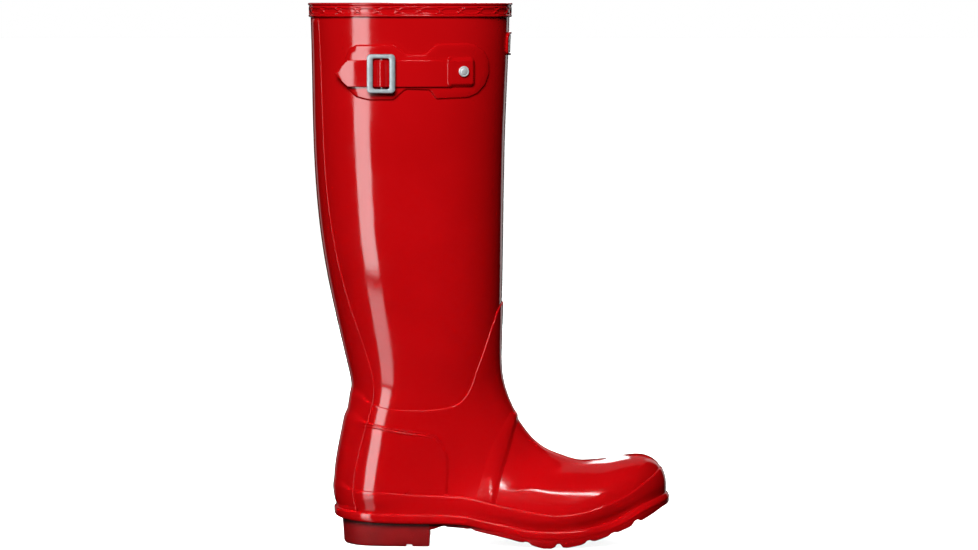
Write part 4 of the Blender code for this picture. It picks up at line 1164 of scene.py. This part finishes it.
def build_badge():
    """Blank rounded plaque on the front of the leg, in a raised rubber border."""
    half, middle, inset = np.array((15.0, 9.0)), (0, 379.5 * MM), 2.05
    oval = circle(96)
    oval /= np.sum(np.abs(oval) ** 4.5, axis=1, keepdims=True) ** (1 / 4.5)
    section = [(0, -0.05), (-0.02, 0.9), (-0.15, 1.5), (-0.5, 1.9), (-1.0, 2.05), (-1.5, 1.95),
               (-1.85, 1.6), (-2.0, 1.1), (-2.0, -0.05)]
    loops = np.array([on_front(oval * (half + grow) * MM + middle, lift * MM)
                      for grow, lift in section])
    border = ring_piece("badge_border_rim", loops, "gloss_rubber")
    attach(border, LEG)
    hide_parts("badge_border")
    plaque = moulded("badge_plaque_face", oval * (half - inset) * MM + middle, on_front, 0.0,
                     rounded(1.4 * MM, 0.6 * MM, 5), "plaque", spacing=2 * MM, step=0.8 * MM)
    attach(plaque, LEG)
    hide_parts("badge_plaque")


# ---- studio ----
LIT_X = 0.05  # the lights stand round this place and aim at it


def look_at(item, target):
    item.rotation_euler = (Vector(target) - item.location).to_track_quat("-Z", "Y").to_euler()


def lit_from(name, azimuth, height, distance, width, tall, brightness, glossy=True,
             diffuse=True, aim=0.2, spread=180, roll=0):
    """Area light that many degrees right of the camera as the boot sees it, aimed at it."""
    data = bpy.data.lights.new(name, "AREA")
    data.shape = "RECTANGLE"
    data.size, data.size_y, data.energy = width, tall, brightness * math.pi * width * tall
    data.spread = math.radians(spread)
    lamp, angle = add_object(name, data), math.radians(azimuth)
    lamp.location = (LIT_X + distance * math.sin(angle), -distance * math.cos(angle), height)
    look_at(lamp, (LIT_X, 0, aim))
    lamp.rotation_euler.rotate_axis("Z", math.radians(roll))
    lamp.visible_camera = False
    lamp.visible_glossy, lamp.visible_diffuse = glossy, diffuse


def build_floor():
    """Pale floor with its own wash of light, which the rest of the set doesn't get."""
    mesh = bpy.data.meshes.new("floor")
    side, level = 40, -0.4 * MM
    corners = [(-side, -side), (side, -side), (side, side), (-side, side)]
    mesh.from_pydata([(x, y, level) for x, y in corners], [], [(0, 1, 2, 3)])
    floor = add_object("floor", mesh)
    mesh.materials.append(grainy("pale_floor", (0.86, 0.86, 0.86), (0.88, 0.88, 0.88), 6, 0.7,
                                 0.00001))
    floor.visible_diffuse = floor.visible_glossy = floor.visible_shadow = False
    data = bpy.data.lights.new("floor_wash", "SUN")
    data.energy, data.angle = 4.4, math.radians(70)
    wash = add_object("floor_wash", data)
    only_floor = bpy.data.collections.new("lit_by_wash")
    only_floor.objects.link(floor)
    wash.light_linking.receiver_collection = only_floor
    wash.light_linking.blocker_collection = only_floor


def build_studio():
    scene = bpy.context.scene
    lens = bpy.data.cameras.new("camera")
    lens.sensor_width, lens.lens = 36, 145.6
    camera = add_object("camera", lens)
    camera.location = (0.0775, -3.0, 0.4113)
    look_at(camera, (0.0775, 0, 0.2038))
    scene.camera = camera
    scene.view_settings.view_transform = "Standard"

    world = bpy.data.worlds.new("studio")
    scene.world = world
    world.use_nodes = True
    background = world.node_tree.nodes["Background"]
    background.inputs["Color"].default_value = (1, 1, 1, 1)
    background.inputs["Strength"].default_value = 1.0
    world.cycles_visibility.diffuse = world.cycles_visibility.glossy = False

    build_floor()
    lit_from("key", -12, 1.7, 2.2, 1.3, 1.3, 17.2, glossy=False)
    lit_from("foot_fill", -22, 1.3, 1.4, 0.2, 0.1, 1.1, glossy=False, aim=0.0, spread=13)
    lit_from("back_soft", 170, 1.2, 2.2, 1.2, 1.2, 13.0, glossy=False)
    lit_from("strip_left", -40, 0.65, 1.8, 0.56, 2.0, 8.0, diffuse=False)
    lit_from("strip_lower", -40, -0.5, 1.8, 0.56, 0.3, 4.0, diffuse=False)
    lit_from("strip_below", -40, -1.0, 1.8, 0.56, 0.7, 1.4, diffuse=False)
    lit_from("streak_above", 4, 1.75, 1.7, 1.1, 0.08, 30.0, diffuse=False, roll=-62)
    lit_from("sheen_behind", 180, 1.7, 1.4, 2.2, 1.9, 0.25, diffuse=False)
    lit_from("rim_right", 150, 0.6, 2.0, 0.5, 2.0, 0.8)
    lit_from("rim_left", -145, 0.6, 2.0, 0.3, 2.0, 0.5, diffuse=False)
    lit_from("back_strip", 180, 0.6, 2.0, 0.2, 1.8, 7.0, diffuse=False)


def main():
    build_studio()
    build_upper()
    build_overlay()
    build_counter()
    build_instep_band()
    build_back_strip()
    build_top_band()
    build_lining()
    sole_ring("foxing_wall", foxing_profile, "gloss_rubber", "foxing_strip")
    sole_ring("rand_welt", rand_profile, "gloss_rubber", "rand")
    build_outsole()
    build_footbed()
    build_patch()
    build_strap()
    build_anchor()
    build_buckle()
    build_badge()
    slots = {row["node"]: row["material_slot"] for row in frame["record"]["subparts"]}
    for name, item in frame["nodes"].items():
        item.data.materials.clear()
        item.data.materials.append(SLOTS[slots[name]])


main()
